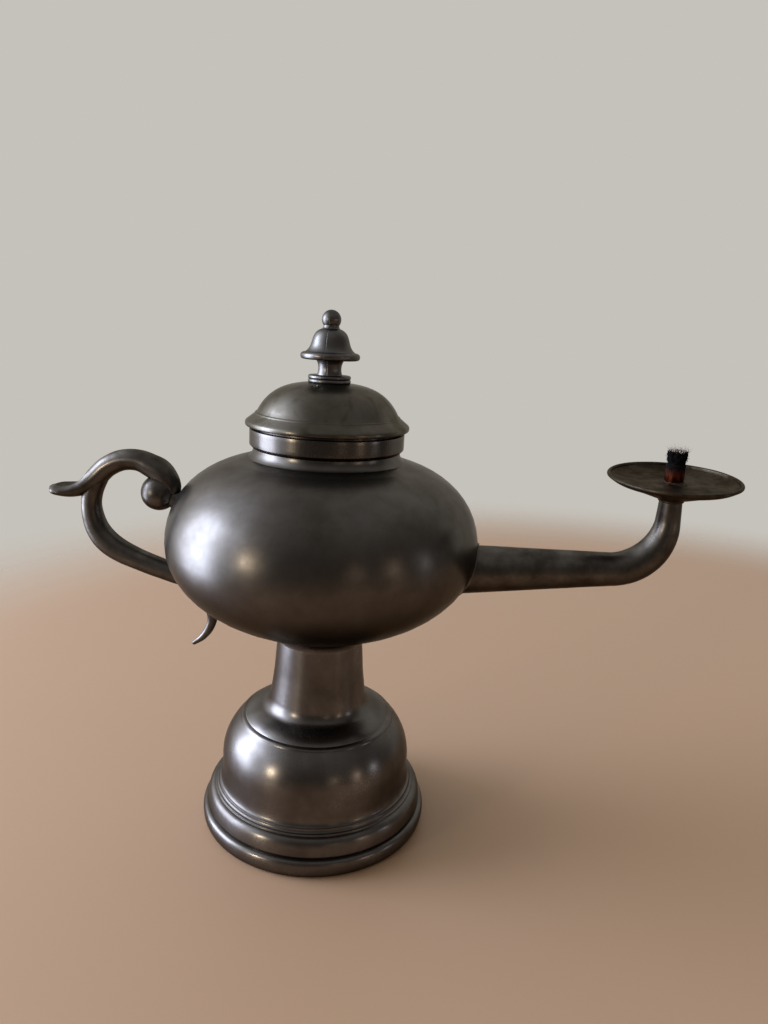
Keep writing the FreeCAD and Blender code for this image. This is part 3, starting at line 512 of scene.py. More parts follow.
def swept(sections: Sequence[Section], sides: int, closed: bool = False) -> BMesh:
    """Draws a loop along a row of sections.

    Args:
        sections: The sections in order.
        sides: How many corners each section has.
        closed: Whether the last section joins the first one, as in a ring or a tube with walls.

    Returns:
        The closed mesh.
    """
    mesh = bmesh.new()
    place = sections[0].place()
    verts = bmesh.ops.create_circle(mesh, cap_ends=False, segments=sides, radius=1, matrix=place)["verts"]
    first = loop = list({edge for vert in verts for edge in vert.link_edges})
    for section in sections[1:]:
        made = bmesh.ops.extrude_edge_only(mesh, edges=loop)["geom"]
        loop = [part for part in made if isinstance(part, bmesh.types.BMEdge)]
        verts = [part for part in made if isinstance(part, bmesh.types.BMVert)]
        bmesh.ops.transform(mesh, matrix=section.place() @ place.inverted(), verts=verts)
        place = section.place()
    if closed:
        bmesh.ops.bridge_loops(mesh, edges=first + loop)
    else:
        bmesh.ops.holes_fill(mesh, edges=first + loop)
    return tidied(mesh)


def flowing(points: Sequence[Vector], steps: int) -> list[Vector]:
    """Points on a smooth curve that runs at each of a row of points as its two neighbours lie.

    Args:
        points: The points that the curve goes through.
        steps: How many steps it takes from each to the next.

    Returns:
        The closer row of points.
    """
    row = [points[0] * 2 - points[1], *points, points[-1] * 2 - points[-2]]
    found: list[Vector] = []
    for before, start, end, after in zip(row, row[1:], row[2:], row[3:]):
        found += interpolate_bezier(start, start + (end - before) / 6, end - (after - start) / 6, end,
                                    steps + 1)[:-1]
    return [*found, points[-1]]


def headings(points: Sequence[Vector], closed: bool = False) -> list[Vector]:
    """The direction of a row of points at each of them."""
    last = len(points) - 1
    pairs = [(index - 1, (index + 1) % len(points)) if closed else (max(index - 1, 0), min(index + 1, last))
             for index in range(len(points))]
    return [(points[after] - points[before]).normalized() for before, after in pairs]


def ball(radius: float, place: Matrix, sides: int, rings: int) -> BMesh:
    """A closed ball about a place."""
    mesh = bmesh.new()
    bmesh.ops.create_uvsphere(mesh, u_segments=sides, v_segments=rings, radius=radius, matrix=place)
    return mesh


def between(first: float, last: float, share: float) -> float:
    """The value at a share of the way from first to last."""
    return first + (last - first) * share


def meshed(name: str, mesh: BMesh) -> bpy.types.Mesh:
    """Turns a mesh into mesh data, and frees it."""
    data = bpy.data.meshes.new(name)
    mesh.to_mesh(data)
    mesh.free()
    return data


def linked(name: str, data: bpy.types.ID) -> bpy.types.Object:
    """Makes an object of some data, in the scene."""
    made = bpy.data.objects.new(name, data)
    bpy.context.scene.collection.objects.link(made)
    return made


def combined(base: BMesh, other: BMesh, how: Join) -> BMesh:
    """Joins one closed mesh to another, or cuts it by the other.

    Args:
        base: The mesh that is kept.
        other: The mesh that is added or cut away.
        how: Which of the two is done.

    Returns:
        The combined mesh.
    """
    blanks = [linked("blank", meshed("blank", mesh)) for mesh in (base, other)]
    modifier = blanks[0].modifiers.new("combine", "BOOLEAN")
    modifier.object = blanks[1]
    modifier.operation = how.value
    made = bmesh.new()
    made.from_object(blanks[0], bpy.context.evaluated_depsgraph_get())
    for blank in blanks:
        bpy.data.objects.remove(blank)
    return made


def moved(mesh: BMesh, place: Matrix) -> BMesh:
    """Puts a whole mesh in another place."""
    bmesh.ops.transform(mesh, matrix=place, verts=mesh.verts)
    return mesh


def uneven(mesh: BMesh, depth: float, size: float) -> BMesh:
    """Moves a surface gently in and out, as hand work and use leave it.

    Args:
        mesh: The mesh, in millimetres.
        depth: The most that a point moves.
        size: How wide one swell is.

    Returns:
        The same mesh.
    """
    mesh.normal_update()
    for vert in mesh.verts:
        vert.co += vert.normal * depth * noise.noise(vert.co / size)
    return mesh


def settled(mesh: BMesh) -> BMesh:
    """Brings what has moved below the floor back up to it."""
    for vert in mesh.verts:
        vert.co.z = max(vert.co.z, 0.0)
    return mesh


def finished(name: str, mesh: BMesh, body: Body, finish: Finish, nodes: Sequence[str] = ()) -> None:
    """Makes a mesh a piece of the lamp.

    Args:
        name: The piece's name.
        mesh: Its mesh, in millimetres.
        body: The body that it rides on.
        finish: What it is made of.
        nodes: The CAD nodes that it stands for.
    """
    bmesh.ops.scale(mesh, vec=(MM, MM, MM), verts=mesh.verts)
    for face in mesh.faces:
        face.smooth = True
    data = meshed(name, mesh)
    data.set_sharp_from_angle(angle=math.radians(SHARP))
    data.materials.append(finish.material())
    piece = linked(name, data)
    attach(piece, body.value)
    if nodes:
        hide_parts(*nodes)
    log.info("%s: %d faces on %s", name, len(data.polygons), body.value)


def kept(node: str, finish: Finish) -> None:
    """Gives a CAD node whose shape is right its finish.

    Args:
        node: The node's name.
        finish: What it is made of.
    """
    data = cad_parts[node].data
    data.materials.clear()
    data.materials.append(finish.material())
    log.info("%s: kept", node)


# Smooth dark pewter of the foot and the stem, polished by dusting: crisp window highlights. Its rubbed and bloom
# colours are painted a little lighter than the font's, as painted highlight, and its downward faces get a darker
# brown painted shade
FOOT_PEWTER = Pewter("pewter_turned_smooth", "body_pewter", rubbed="#757270", bloom="#5b5754", under="#2a1f16",
                     gloss=0.23, dull=0.28, stained=0.15, scratch_depth=0.0004, ring_depth=0.0005, turned=0.4,
                     grime_and_shade_width=0.9, grime_and_shade_share=0.2)
# The finial and its disc: the same metal, cast in two halves and polished
FINIAL_PEWTER = Pewter("pewter_finial", "body_pewter", rubbed="#7b7a79", bloom="#63615f", gloss=0.27,
                       dull=0.33, turned=0.0, ring_depth=0.0, grime_and_shade_share=0.5,
                       stained=0.2, cloud=7.0, dent_size=5.0, grime_and_shade_width=1.2)
# The font's larger surface: the same metal, a little duller, finely scratched and lightly dented; its wide hollow
# darkening is painted shade in the cove of the neck
BODY_PEWTER = Pewter("pewter_turned", "body_pewter", gloss=0.25, dull=0.31, turned=0.5, scratch_depth=0.004,
                     pit_spacing=6.0, grime_and_shade_width=3.0)
# The lid, satin from handling, with an olive bloom
LID_PEWTER = Pewter("pewter_lid_satin", "body_pewter", rubbed="#716d66", bloom="#5c5850", stain="#4a473b",
                    stained=0.8, gloss=0.26, dull=0.33, cloud=12.0, ring_depth=0.003)
# The ring under the lid, scraped bright, with the chatter of the turning tool; its wide hollow darkening is painted
# shade in the gap under the lid's brim
BAND_PEWTER = Pewter("pewter_band_bright", "band_pewter", rubbed="#6a6662", bloom="#5b5753", stained=0.0,
                     gloss=0.21, dull=0.27, turned=0.5, grime_and_shade_width=2.6, ring_depth=0.002, ring_spacing=0.22,
                     dent_depth=0.0, streak_depth=0.012)
# Dark cast metal of the spout and the handle, dressed by hand and never turned
CAST_PEWTER = Pewter("pewter_cast_dark", "cast_pewter", rubbed="#706c67", bloom="#4d4945", grime_and_shade="#1c1815",
                     stain="#3a352f", gloss=0.26, dull=0.36, ring_depth=0.0, turned=0.0, cloud=8.0, dent_size=5.0,
                     dent_depth=0.03, scratch_depth=0.002)
# Tin solder, grainy and duller than the cast metal
SOLDER = Pewter("tin_solder", "solder", rubbed="#6f6b64", bloom="#524e48", gloss=0.3, dull=0.5, ring_depth=0.0,
                turned=0.0, cloud=3.0, dent_size=1.5, dent_depth=0.08)


# The foot, the stem and its collar


@dataclass(frozen=True)
class Base:
    """The bell foot, the hollow stem on it and the collar that carries the font."""

    sides: int = 192
    swell: Pair = (0.05, 11.0)
    foot_radius: float = 42.2
    stand_inset: float = 1.8
    stand_width: float = 4.4
    bead_height: float = 6.7
    bead_under: float = 0.74
    bead_middle: float = 4.09
    groove_inset: float = 2.1
    groove_pole_inset: float = 1.6
    ovolo_inset: float = 1.8
    ovolo_height: float = 6.9
    ovolo_side: float = 0.8
    ovolo_poles: Pairs = ((0.1, 1.9), (1.1, 0.1))
    step_inset: float = 4.7
    step_height: float = 0.6
    necking_inset: float = 5.9
    necking_height: float = 1.4
    bell_inset: float = 7.2
    flare_height: float = 3.9
    side_height: float = 5.5
    shoulder_inset: float = 14.2
    shoulder_height: float = 15.4
    ring_width: float = 1.0
    ring_height: float = 0.7
    roll_start: Pair = (0.5, 0.35)
    roll_poles: Pairs = ((0.3, 0.45), (0.0, 0.1))
    roll_soft: float = 1.0
    lip: float = 0.15
    wall: float = 2.2
    spigot_radius: float = 22.6
    spigot_depth: float = 3.0
    dome_height: float = 3.5
    dome_slope: float = 6.4
    dome_poles: Pairs = ((0.965, 0.36), (0.89, 0.77))
    fillet_poles: Pairs = ((0.33, 0.2), (0.07, 0.6))
    stem_foot_radius: float = 17.7
    stem_foot_height: float = 8.2
    stem_middle_radius: float = 16.4
    stem_middle_height: float = 18.4
    stem_waist: float = 0.6
    stem_radius: float = 15.6
    stem_height: float = 29.9
    collar_radius: float = 17.6
    collar_height: float = 5.9
    collar_ring: float = 0.75
    collar_ring_height: float = 4.0
    collar_top_radius: float = 20.2
    collar_sink: float = 1.6
    collar_bore: float = 11.0
    edge: float = 0.22

    @property
    def foot_top(self) -> float:
        """The height of the bell's shoulder."""
        return (self.bead_height + self.ovolo_height + self.step_height + self.necking_height
                + self.flare_height + self.side_height + self.shoulder_height)

    @property
    def stem_seat(self) -> float:
        """The height at which the stem stands on the bell."""
        return self.foot_top + self.ring_height

    @property
    def stem_top(self) -> float:
        """The height of the stem's upper end."""
        return self.stem_seat + self.stem_height

    def bell(self) -> BMesh:
        """The hollow foot: a bead, a groove, an ovolo, a step and the bell."""
        out, inside = self.foot_radius, self.foot_top - self.wall
        stand, groove, ovolo, step, necking, bell, shoulder = [out - inset for inset in (
            self.stand_inset, self.groove_inset, self.ovolo_inset, self.step_inset, self.necking_inset,
            self.bell_inset, self.shoulder_inset)]
        bead_top, ovolo_top, step_top, necking_top, flare_top, side_top = accumulate((
            self.bead_height, self.ovolo_height, self.step_height, self.necking_height, self.flare_height,
            self.side_height))
        shape = Outline(stand, 0)
        shape.curve((out, self.bead_under), (out, self.bead_middle))
        shape.curve((out, bead_top), (out - self.groove_pole_inset, bead_top), (groove, bead_top))
        shape.line((ovolo, bead_top + self.ovolo_side), soft=self.edge)
        shape.curve(*[(ovolo - in_by, ovolo_top - drop) for in_by, drop in self.ovolo_poles], (step, ovolo_top),
                    soft=self.edge)
        shape.line((step, step_top), soft=self.edge)
        shape.curve((necking, step_top), (necking, necking_top), soft=self.edge * 2)
        shape.curve((bell, necking_top), (bell, flare_top))
        shape.line((bell, side_top))
        self.shoulder(shape, bell, side_top, shoulder + self.roll_start[0], self.foot_top - self.roll_start[1])
        shape.curve(*[(shoulder + out_by, self.stem_seat - drop) for out_by, drop in self.roll_poles],
                    (shoulder - self.ring_width, self.stem_seat + self.lip))
        shape.line((self.spigot_radius, self.stem_seat), (self.spigot_radius, inside), (shoulder - self.wall, inside),
                   (bell - self.wall, side_top), (bell - self.wall, necking_top),
                   (stand - self.stand_width, ovolo_top - self.wall))
        shape.line((stand - self.stand_width, 0), soft=self.edge)
        return settled(uneven(shape.turned(self.sides), *self.swell))

    def shoulder(self, shape: Outline, reach: float, low: float, end_reach: float, high: float) -> None:
        """Draws the bell's shoulder: an arc that leaves the side straight up.

        Args:
            shape: The outline, which has come to the arc's start.
            reach: The reach of its start.
            low: The height of its start.
            end_reach: The reach of its end.
            high: The height of its end.
        """
        run, rise = reach - end_reach, high - low
        radius = (run * run + rise * rise) / (2 * run)
        turn = math.asin(rise / radius)
        pole = 4 / 3 * math.tan(turn / 4) * radius
        shape.curve((reach, low + pole), (end_reach + pole * math.sin(turn), high - pole * math.cos(turn)),
                    (end_reach, high), soft=self.roll_soft)

    def column(self) -> BMesh:
        """The stem: a dome on the bell, a fillet and a slightly tapered column."""
        seat, low = self.stem_seat, self.foot_radius - self.shoulder_inset - self.ring_width
        dome, dome_top = low - self.dome_slope, seat + self.dome_height
        foot, foot_top = self.stem_foot_radius, seat + self.stem_foot_height
        middle_top, spigot = seat + self.stem_middle_height, self.spigot_radius - self.wall
        shape = Outline(low, seat)
        shape.curve(*[(low * reach, seat + self.dome_height * rise) for reach, rise in self.dome_poles],
                    (dome, dome_top))
        shape.curve(*[(between(foot, dome, reach), between(dome_top, foot_top, rise))
                      for reach, rise in self.fillet_poles], (foot, foot_top))
        shape.curve((between(foot, self.stem_middle_radius, self.stem_waist), (foot_top + middle_top) / 2),
                    (self.stem_middle_radius, middle_top))
        shape.line((self.stem_radius, self.stem_top), (self.stem_radius - self.wall, self.stem_top),
                   (foot - self.wall, foot_top), (dome - self.wall, dome_top - self.wall), (spigot, seat),
                   (spigot, seat - self.spigot_depth), (self.spigot_radius, seat - self.spigot_depth),
                   (self.spigot_radius, seat))
        return shape.turned(self.sides)

    def collar(self) -> BMesh:
        """The cove and the small ring between the stem and the font."""
        low, top = self.stem_top, self.stem_top + self.collar_height + self.collar_sink
        neck, middle = self.collar_radius - self.collar_ring, low + self.collar_ring_height
        ring_low = middle - self.collar_ring
        shape = Outline(self.stem_radius, low)
        shape.curve((self.stem_radius, (low + ring_low) / 2), (neck, ring_low))
        shape.arc(neck, middle, 180)
        shape.curve((self.collar_radius, middle + self.collar_ring), (self.collar_top_radius, top))
        shape.line((self.collar_bore, top), (self.collar_bore, low))
        return shape.turned(self.sides)

    def build(self) -> None:
        """Builds and dresses the three pieces."""
        finished("bell_foot", self.bell(), Body.LAMP, FOOT_PEWTER, ["foot_bell"])
        finished("hollow_stem", self.column(), Body.LAMP, FOOT_PEWTER, ["stem"])
        finished("font_collar", self.collar(), Body.LAMP, FOOT_PEWTER, ["stem_collar"])


# The font and its neck


@dataclass(frozen=True)
class Font:
    """The round font with its neck, and the bright ring that carries the lid."""

    sides: int = 224
    swell: Pair = (0.06, 16.0)
    radius: float = 55.0
    rise: float = 29.4
    drop: float = 31.4
    base_radius: float = 14.5
    wall: float = 1.9
    middle: float = 108.3
    top_poles: Pairs = ((1.0, 0.673), (0.684, 0.966), (0.464, 1.0))
    base_poles: Pairs = ((0.567, 0.968), (1.0, 0.589), (1.0, 0.0))
    step_radius: float = 28.6
    step_height: float = 0.6
    step_soft: float = 0.6
    step_drop: float = 0.2
    step_pole: float = 0.7
    step_width: float = 1.4
    neck_radius: float = 25.4
    neck_height: float = 3.7
    neck_bore: float = 22.6
    cove_share: float = 0.33
    band_stand_out: float = 1.3
    band_chamfer: float = 1.2
    band_height: float = 6.6
    lip_inset: float = 1.5
    lip_height: float = 0.9
    edge: float = 0.2

    def poles(self, shares: Pairs, inset: float, span: float) -> list[Pair]:
        """Poles of the font's curve, from shares of its radius and of its rise or drop."""
        return [((self.radius - inset) * reach, self.middle + span * height) for reach, height in shares]

    def shell(self) -> BMesh:
        """The font's wall, with the raised ring and the neck."""
        base, top, inset = self.middle - self.drop, self.middle + self.rise, self.wall
        shelf, band_foot = top + self.step_height, top + self.neck_height
        shape = Outline(0, base)
        shape.line((self.base_radius, base))
        shape.curve(*self.poles(self.base_poles, 0, -self.drop))
        shape.curve(*self.poles(self.top_poles, 0, self.rise), until=self.step_radius, soft=self.step_soft)
        shape.curve((self.step_radius - self.step_pole, shelf - self.step_drop),
                    (self.step_radius - self.step_width, shelf - self.step_drop))
        shape.curve((self.neck_radius, between(shelf, band_foot, self.cove_share)), (self.neck_radius, band_foot))
        first, second, last = self.poles(self.top_poles, inset, self.rise - inset)
        shape.line((self.neck_bore, band_foot), (self.neck_bore, top - inset), last)
        shape.curve(second, first, (self.radius - inset, self.middle))
        low, high, _ = self.poles(self.base_poles, inset, inset - self.drop)
        shape.curve(high, low, (self.base_radius, base + inset))
        shape.line((0, base + inset))
        return uneven(shape.turned(self.sides, closed=False), *self.swell)

    def band(self) -> BMesh:
        """The bright turned ring, with the lip on which the lid rests."""
        foot = self.middle + self.rise + self.neck_height
        top, out = foot + self.band_height, self.neck_radius + self.band_stand_out
        lip_top, lip = top + self.lip_height, out - self.lip_inset
        shape = Outline(self.neck_bore, foot)
        shape.line((out - self.band_chamfer, foot), (out, foot + self.band_chamfer), (out, top), soft=self.edge)
        shape.line((lip, top))
        shape.line((lip, lip_top), (self.neck_bore, lip_top), soft=self.edge)
        return shape.turned(self.sides)

    def build(self) -> None:
        """Builds and dresses the two pieces."""
        finished("font_shell", self.shell(), Body.LAMP, BODY_PEWTER, ["bowl_lower", "bowl_upper"])
        finished("bright_band", self.band(), Body.LAMP, BAND_PEWTER, ["neck_band"])


# The lid and its finial


@dataclass(frozen=True)
class Lid:
    """The domed lid with its bezel and vent, and the cast finial on it."""

    sides: int = 192
    swell: Pair = (0.04, 9.0)
    seat: float = 148.9
    radius: float = 28.2
    brim_edge: float = 0.8
    slope_foot: float = 1.55
    slope_round: float = 0.5
    ridge: float = 0.24
    ridge_shape: Pairs = ((3.0, 0.0), (2.2, 0.9), (1.0, 1.0))
    dome_radius: float = 24.4
    dome_foot: float = 4.6
    dome_top: float = 15.1
    flat_radius: float = 6.0
    wall: float = 1.7
    crown_poles: Pairs = ((0.87, 0.62), (0.66, 0.97))
    bezel_radius: float = 22.3
    bezel_wall: float = 1.3
    bezel_depth: float = 5.0
    vent_radius: float = 0.65
    vent_sides: int = 24
    vent_reach: float = 11.5
    vent_turn: float = -108.0
    burr_reach: float = 10.9
    burr_turn: float = -99.5
    burr_radius: float = 0.5
    burr_sides: tuple[int, int] = (20, 12)
    base_radius: float = 7.3
    base_height: float = 2.7
    base_groove: float = 0.3
    base_layer: float = 0.5
    base_edge: float = 0.95
    pin_radius: float = 1.6
    pin_depth: float = 2.6
    stem_radius: float = 4.3
    stem_height: float = 5.1
    waist_radius: float = 3.7
    waist_shares: Pair = (0.3, 0.75)
    bell_radius: float = 10.1
    bell_height: float = 11.3
    bell_shares: tuple[Pairs, ...] = (
        ((0.72, 0.03), (0.9, 0.0)), ((1.0, 0.0), (1.0, 0.11)), ((1.0, 0.2), (0.84, 0.22)),
        ((0.545, 0.383), (0.714, 0.756), (0.337, 0.891)), ((0.262, 0.9), (0.262, 1.0)))
    bell_start: Pair = (0.5, 0.01)
    ball_radius: float = 3.25
    ball_share: float = 0.57
    seam_turn: float = -93.6
    seam_depth: float = 0.07
    seam_match: float = 1 - 1e-6
    finial_sides: int = 256
    edge: float = 0.18

    @property
    def top(self) -> float:
        """The height of the lid's flat middle, on which the finial stands."""
        return self.seat + self.dome_top

    def crown(self, radius: float, top: float) -> list[Pair]:
        """The poles of the dome, from its foot to its flat middle."""
        foot = self.seat + self.dome_foot
        return [(radius, foot), *[(radius * reach, between(foot, top, rise)) for reach, rise in self.crown_poles],
                (self.flat_radius, top)]

    def spot(self, turn: float, reach: float, height: float) -> Matrix:
        """A place on the lid, from its turn about the axis in degrees, its reach and its height."""
        return Matrix.Rotation(math.radians(turn), 4, "Z") @ Matrix.Translation((reach, 0, height))

    def dome(self) -> BMesh:
        """The lid: a hollow dome on a sloped brim, with its vent."""
        outer = self.crown(self.dome_radius, self.top)
        inner = self.crown(self.dome_radius - self.wall, self.top - self.wall)
        reach, height = outer[0]
        fall = (height - self.seat - self.slope_foot) / (self.radius - reach)
        shape = Outline(self.radius - self.brim_edge, self.seat)
        shape.curve((self.radius, self.seat), (self.radius, self.seat + self.brim_edge))
        shape.line((self.radius, self.seat + self.slope_foot), soft=self.slope_round)
        shape.line(*[(reach + out_by * self.ridge, height + (up_by - out_by * fall) * self.ridge)
                     for out_by, up_by in self.ridge_shape], outer[0], soft=self.ridge / 3)
        shape.curve(*outer[1:])
        shape.line((0, self.top), (0, self.top - self.wall), inner[-1])
        shape.curve(*reversed(inner[:-1]))
        shape.line((inner[0][0], self.seat))
        drill = bmesh.new()
        bmesh.ops.create_cone(drill, cap_ends=True, segments=self.vent_sides, radius1=self.vent_radius,
                              radius2=self.vent_radius, depth=self.dome_top,
                              matrix=self.spot(self.vent_turn, self.vent_reach, self.top))
        return combined(uneven(shape.turned(self.sides), *self.swell), drill, Join.CUT)

    def burr(self) -> BMesh:
        """The small drop of solder beside the vent."""
        return ball(self.burr_radius, self.spot(self.burr_turn, self.burr_reach, self.top - self.edge * 2),
                    *self.burr_sides)

    def bezel(self) -> BMesh:
        """The ring inside the lid, which drops into the neck."""
        inner, lead = self.bezel_radius - self.bezel_wall, self.bezel_wall / 2
        bottom, flange, top = self.seat - self.bezel_depth, self.dome_radius - self.wall, self.seat + self.bezel_wall
        shape = Outline(inner, bottom)
        shape.line((self.bezel_radius - lead, bottom), (self.bezel_radius, bottom + lead), soft=self.edge)
        shape.line((self.bezel_radius, self.seat), (flange, self.seat), (flange, top))
        shape.line((inner, top), soft=self.edge)
        return shape.turned(self.sides)

    def finial_base(self) -> BMesh:
        """The disc of two rounded layers under the finial."""
        narrow, foot, top = self.base_radius - self.base_groove, self.top, self.top + self.base_height
        groove, high = foot + self.base_height * self.base_layer, foot + self.base_height * self.base_edge
        shape = Outline(self.pin_radius, foot)
        shape.line((narrow, foot))
        for low, end in ((foot, groove), (groove, high)):
            sag, chord = self.base_groove, (end - low) / 2
            radius = (sag * sag + chord * chord) / (2 * sag)
            shape.arc(narrow + sag - radius, (low + end) / 2, 2 * math.degrees(math.asin(chord / radius)))
        shape.line((self.stem_radius + self.base_groove, top), soft=self.edge)
        shape.line((self.pin_radius, top))
        return shape.turned(self.sides)

    def finial(self) -> BMesh:
        """The cast finial: a pin, a waisted stem, a bell and a ball, with its seam."""
        foot, rim = self.top + self.base_height, self.top + self.base_height + self.stem_height
        pin = self.top - self.pin_depth
        shape = Outline(0, pin)
        shape.line((self.pin_radius, pin), (self.pin_radius, foot), (self.stem_radius, foot))
        start = (self.bell_radius * self.bell_start[0], rim + self.bell_height * self.bell_start[1])
        shape.curve(*[(self.waist_radius, foot + self.stem_height * share) for share in self.waist_shares], start)
        for group in self.bell_shares:
            shape.curve(*[(self.bell_radius * reach, rim + self.bell_height * height) for reach, height in group])
        top, middle = shape.end.co.z, rim + self.bell_height + self.ball_radius * self.ball_share
        foot_turn = math.asin((middle - top) / self.ball_radius)
        shape.line((self.ball_radius * math.cos(foot_turn), top))
        shape.arc(0, middle, 90 + math.degrees(foot_turn))
        turn = Matrix.Rotation(math.radians(self.seam_turn), 4, "Z")
        return self.seamed(moved(shape.turned(self.finial_sides, closed=False), turn))

    def seamed(self, mesh: BMesh) -> BMesh:
        """Sinks the fine line along which the two halves of the casting meet."""
        seam = Vector((math.cos(math.radians(self.seam_turn)), math.sin(math.radians(self.seam_turn)), 0))
        for vert in mesh.verts:
            reach = Vector((vert.co.x, vert.co.y, 0))
            if reach.length > self.pin_radius and abs(reach.normalized().dot(seam)) > self.seam_match:
                vert.co -= reach.normalized() * self.seam_depth
        return mesh

    def build(self) -> None:
        """Builds and dresses the lid's pieces."""
        for name, mesh, finish, nodes in (
                ("lid_dome_brim", self.dome(), LID_PEWTER, ["lid_dome"]),
                ("vent_solder_drop", self.burr(), SOLDER, []),
                ("lid_bezel_ring", self.bezel(), LID_PEWTER, ["lid_bezel"]),
                ("finial_disc", self.finial_base(), FINIAL_PEWTER, ["finial_base"]),
                ("finial_bell_ball", self.finial(), FINIAL_PEWTER, ["finial"])):
            finished(name, mesh, Body.LID, finish, nodes)
        kept("finial_rivet", LID_PEWTER)


# The spout


@dataclass(frozen=True)
class Spout:
    """The tapered tube that rises a little, turns up in a bend and leans at its mouth."""

    sides: int = 64
    swell: Pair = (0.05, 6.0)
    root: Pair = (53.5, 102.1)
    rise_turn: float = 5.0
    reach: float = 117.9
    bend_radius: float = 18.5
    upright: float = 7.4
    root_radius: float = 8.5
    bend_start_radius: float = 5.85
    bulge: float = 0.55
    bend_end_radius: float = 4.15
    mouth_radius: float = 3.75
    wall: float = 1.5
    bore: float = 3.16
    bore_depth: float = 6.66
    tail: float = 8.0
    lean: float = 3.9
    lean_turn: float = 13.7
    leaned_by: float = 0.5
    straight_steps: int = 24
    bend_steps: int = 28
    upright_steps: int = 8
    edge: float = 0.2

    @property
    def slope(self) -> float:
        """The angle at which the spout leaves the font, in radians."""
        return math.radians(self.rise_turn)

    @property
    def bend_end(self) -> Vector:
        """Where the bend ends and the upright begins."""
        corner = self.root[1] + (self.reach - self.root[0]) * math.tan(self.slope)
        return Vector((self.reach, 0, corner + self.bend_radius * math.tan((math.pi / 2 - self.slope) / 2)))

    def leaned(self, share: float = 1.0) -> Matrix:
        """The turn by which the upright leans, or a share of it."""
        side = math.radians(self.lean_turn)
        axis = Vector((math.cos(side), -math.sin(side), 0))
        turn = Matrix.Rotation(math.radians(self.lean) * share, 4, axis)
        return Matrix.Translation(self.bend_end) @ turn @ Matrix.Translation(-self.bend_end)

    @property
    def mouth(self) -> Matrix:
        """The place of the burner: at the mouth, leaning with it."""
        return self.leaned() @ Matrix.Translation(self.bend_end + UP * self.upright)

    def section(self, centre: Vector, heading: Vector, radius: float, lean: float = 0.0) -> Section:
        """A round section, leaned by a share of the burner's lean."""
        turn = self.leaned(lean)
        return Section(turn @ centre, (turn.to_3x3() @ heading).normalized(), radius, radius)

    def outside(self) -> list[Section]:
        """The spout's round sections from inside the font's wall to the mouth."""
        ahead = Vector((math.cos(self.slope), 0, math.sin(self.slope)))
        centre = self.bend_end - Vector((self.bend_radius, 0, 0))
        start = centre + Vector((math.sin(self.slope), 0, -math.cos(self.slope))) * self.bend_radius
        root = Vector((self.root[0], 0, self.root[1]))
        taper = (self.root_radius - self.bend_start_radius) / (start - root).length
        row = [self.section(root - ahead * self.tail, ahead, self.root_radius + taper * self.tail)]
        for step in range(self.straight_steps):
            share = step / self.straight_steps
            row.append(self.section(root.lerp(start, share), ahead,
                                    between(self.root_radius, self.bend_start_radius, share)))
        for step in range(self.bend_steps):
            share = step / self.bend_steps
            angle = between(self.slope, math.pi / 2, share)
            out = Vector((math.sin(angle), 0, -math.cos(angle)))
            radius = between(self.bend_start_radius, self.bend_end_radius, share)
            row.append(self.section(centre + out * self.bend_radius, Vector((math.cos(angle), 0, math.sin(angle))),
                                    radius + self.bulge * math.sin(math.pi * share)))
        for step in range(self.upright_steps + 1):
            share = step / self.upright_steps
            row.append(self.section(self.bend_end + UP * self.upright * share, UP,
                                    between(self.bend_end_radius, self.mouth_radius, share),
                                    min(1.0, share / self.leaned_by)))
        return row

    def tube(self) -> BMesh:
        """The spout with its wall, bored at its mouth for the wick tube."""
        row = self.outside()
        top = self.bend_end + UP * self.upright
        rim = self.section(top, UP, self.mouth_radius - self.edge, 1.0)
        row[-1] = self.section(top - UP * self.edge, UP, self.mouth_radius, 1.0)
        bore = [self.section(top - UP * depth, UP, self.bore, 1.0) for depth in (0.0, self.bore_depth)]
        inside = [Section(part.centre, part.heading, part.height - self.wall, part.width - self.wall)
                  for part in reversed(row[:-self.upright_steps // 2])]
        return uneven(swept([*row, rim, *bore, *inside], self.sides, closed=True), *self.swell)

    def build(self) -> None:
        """Builds and dresses the spout."""
        finished("spout_tube", self.tube(), Body.LAMP, CAST_PEWTER, ["spout"])


# The handle


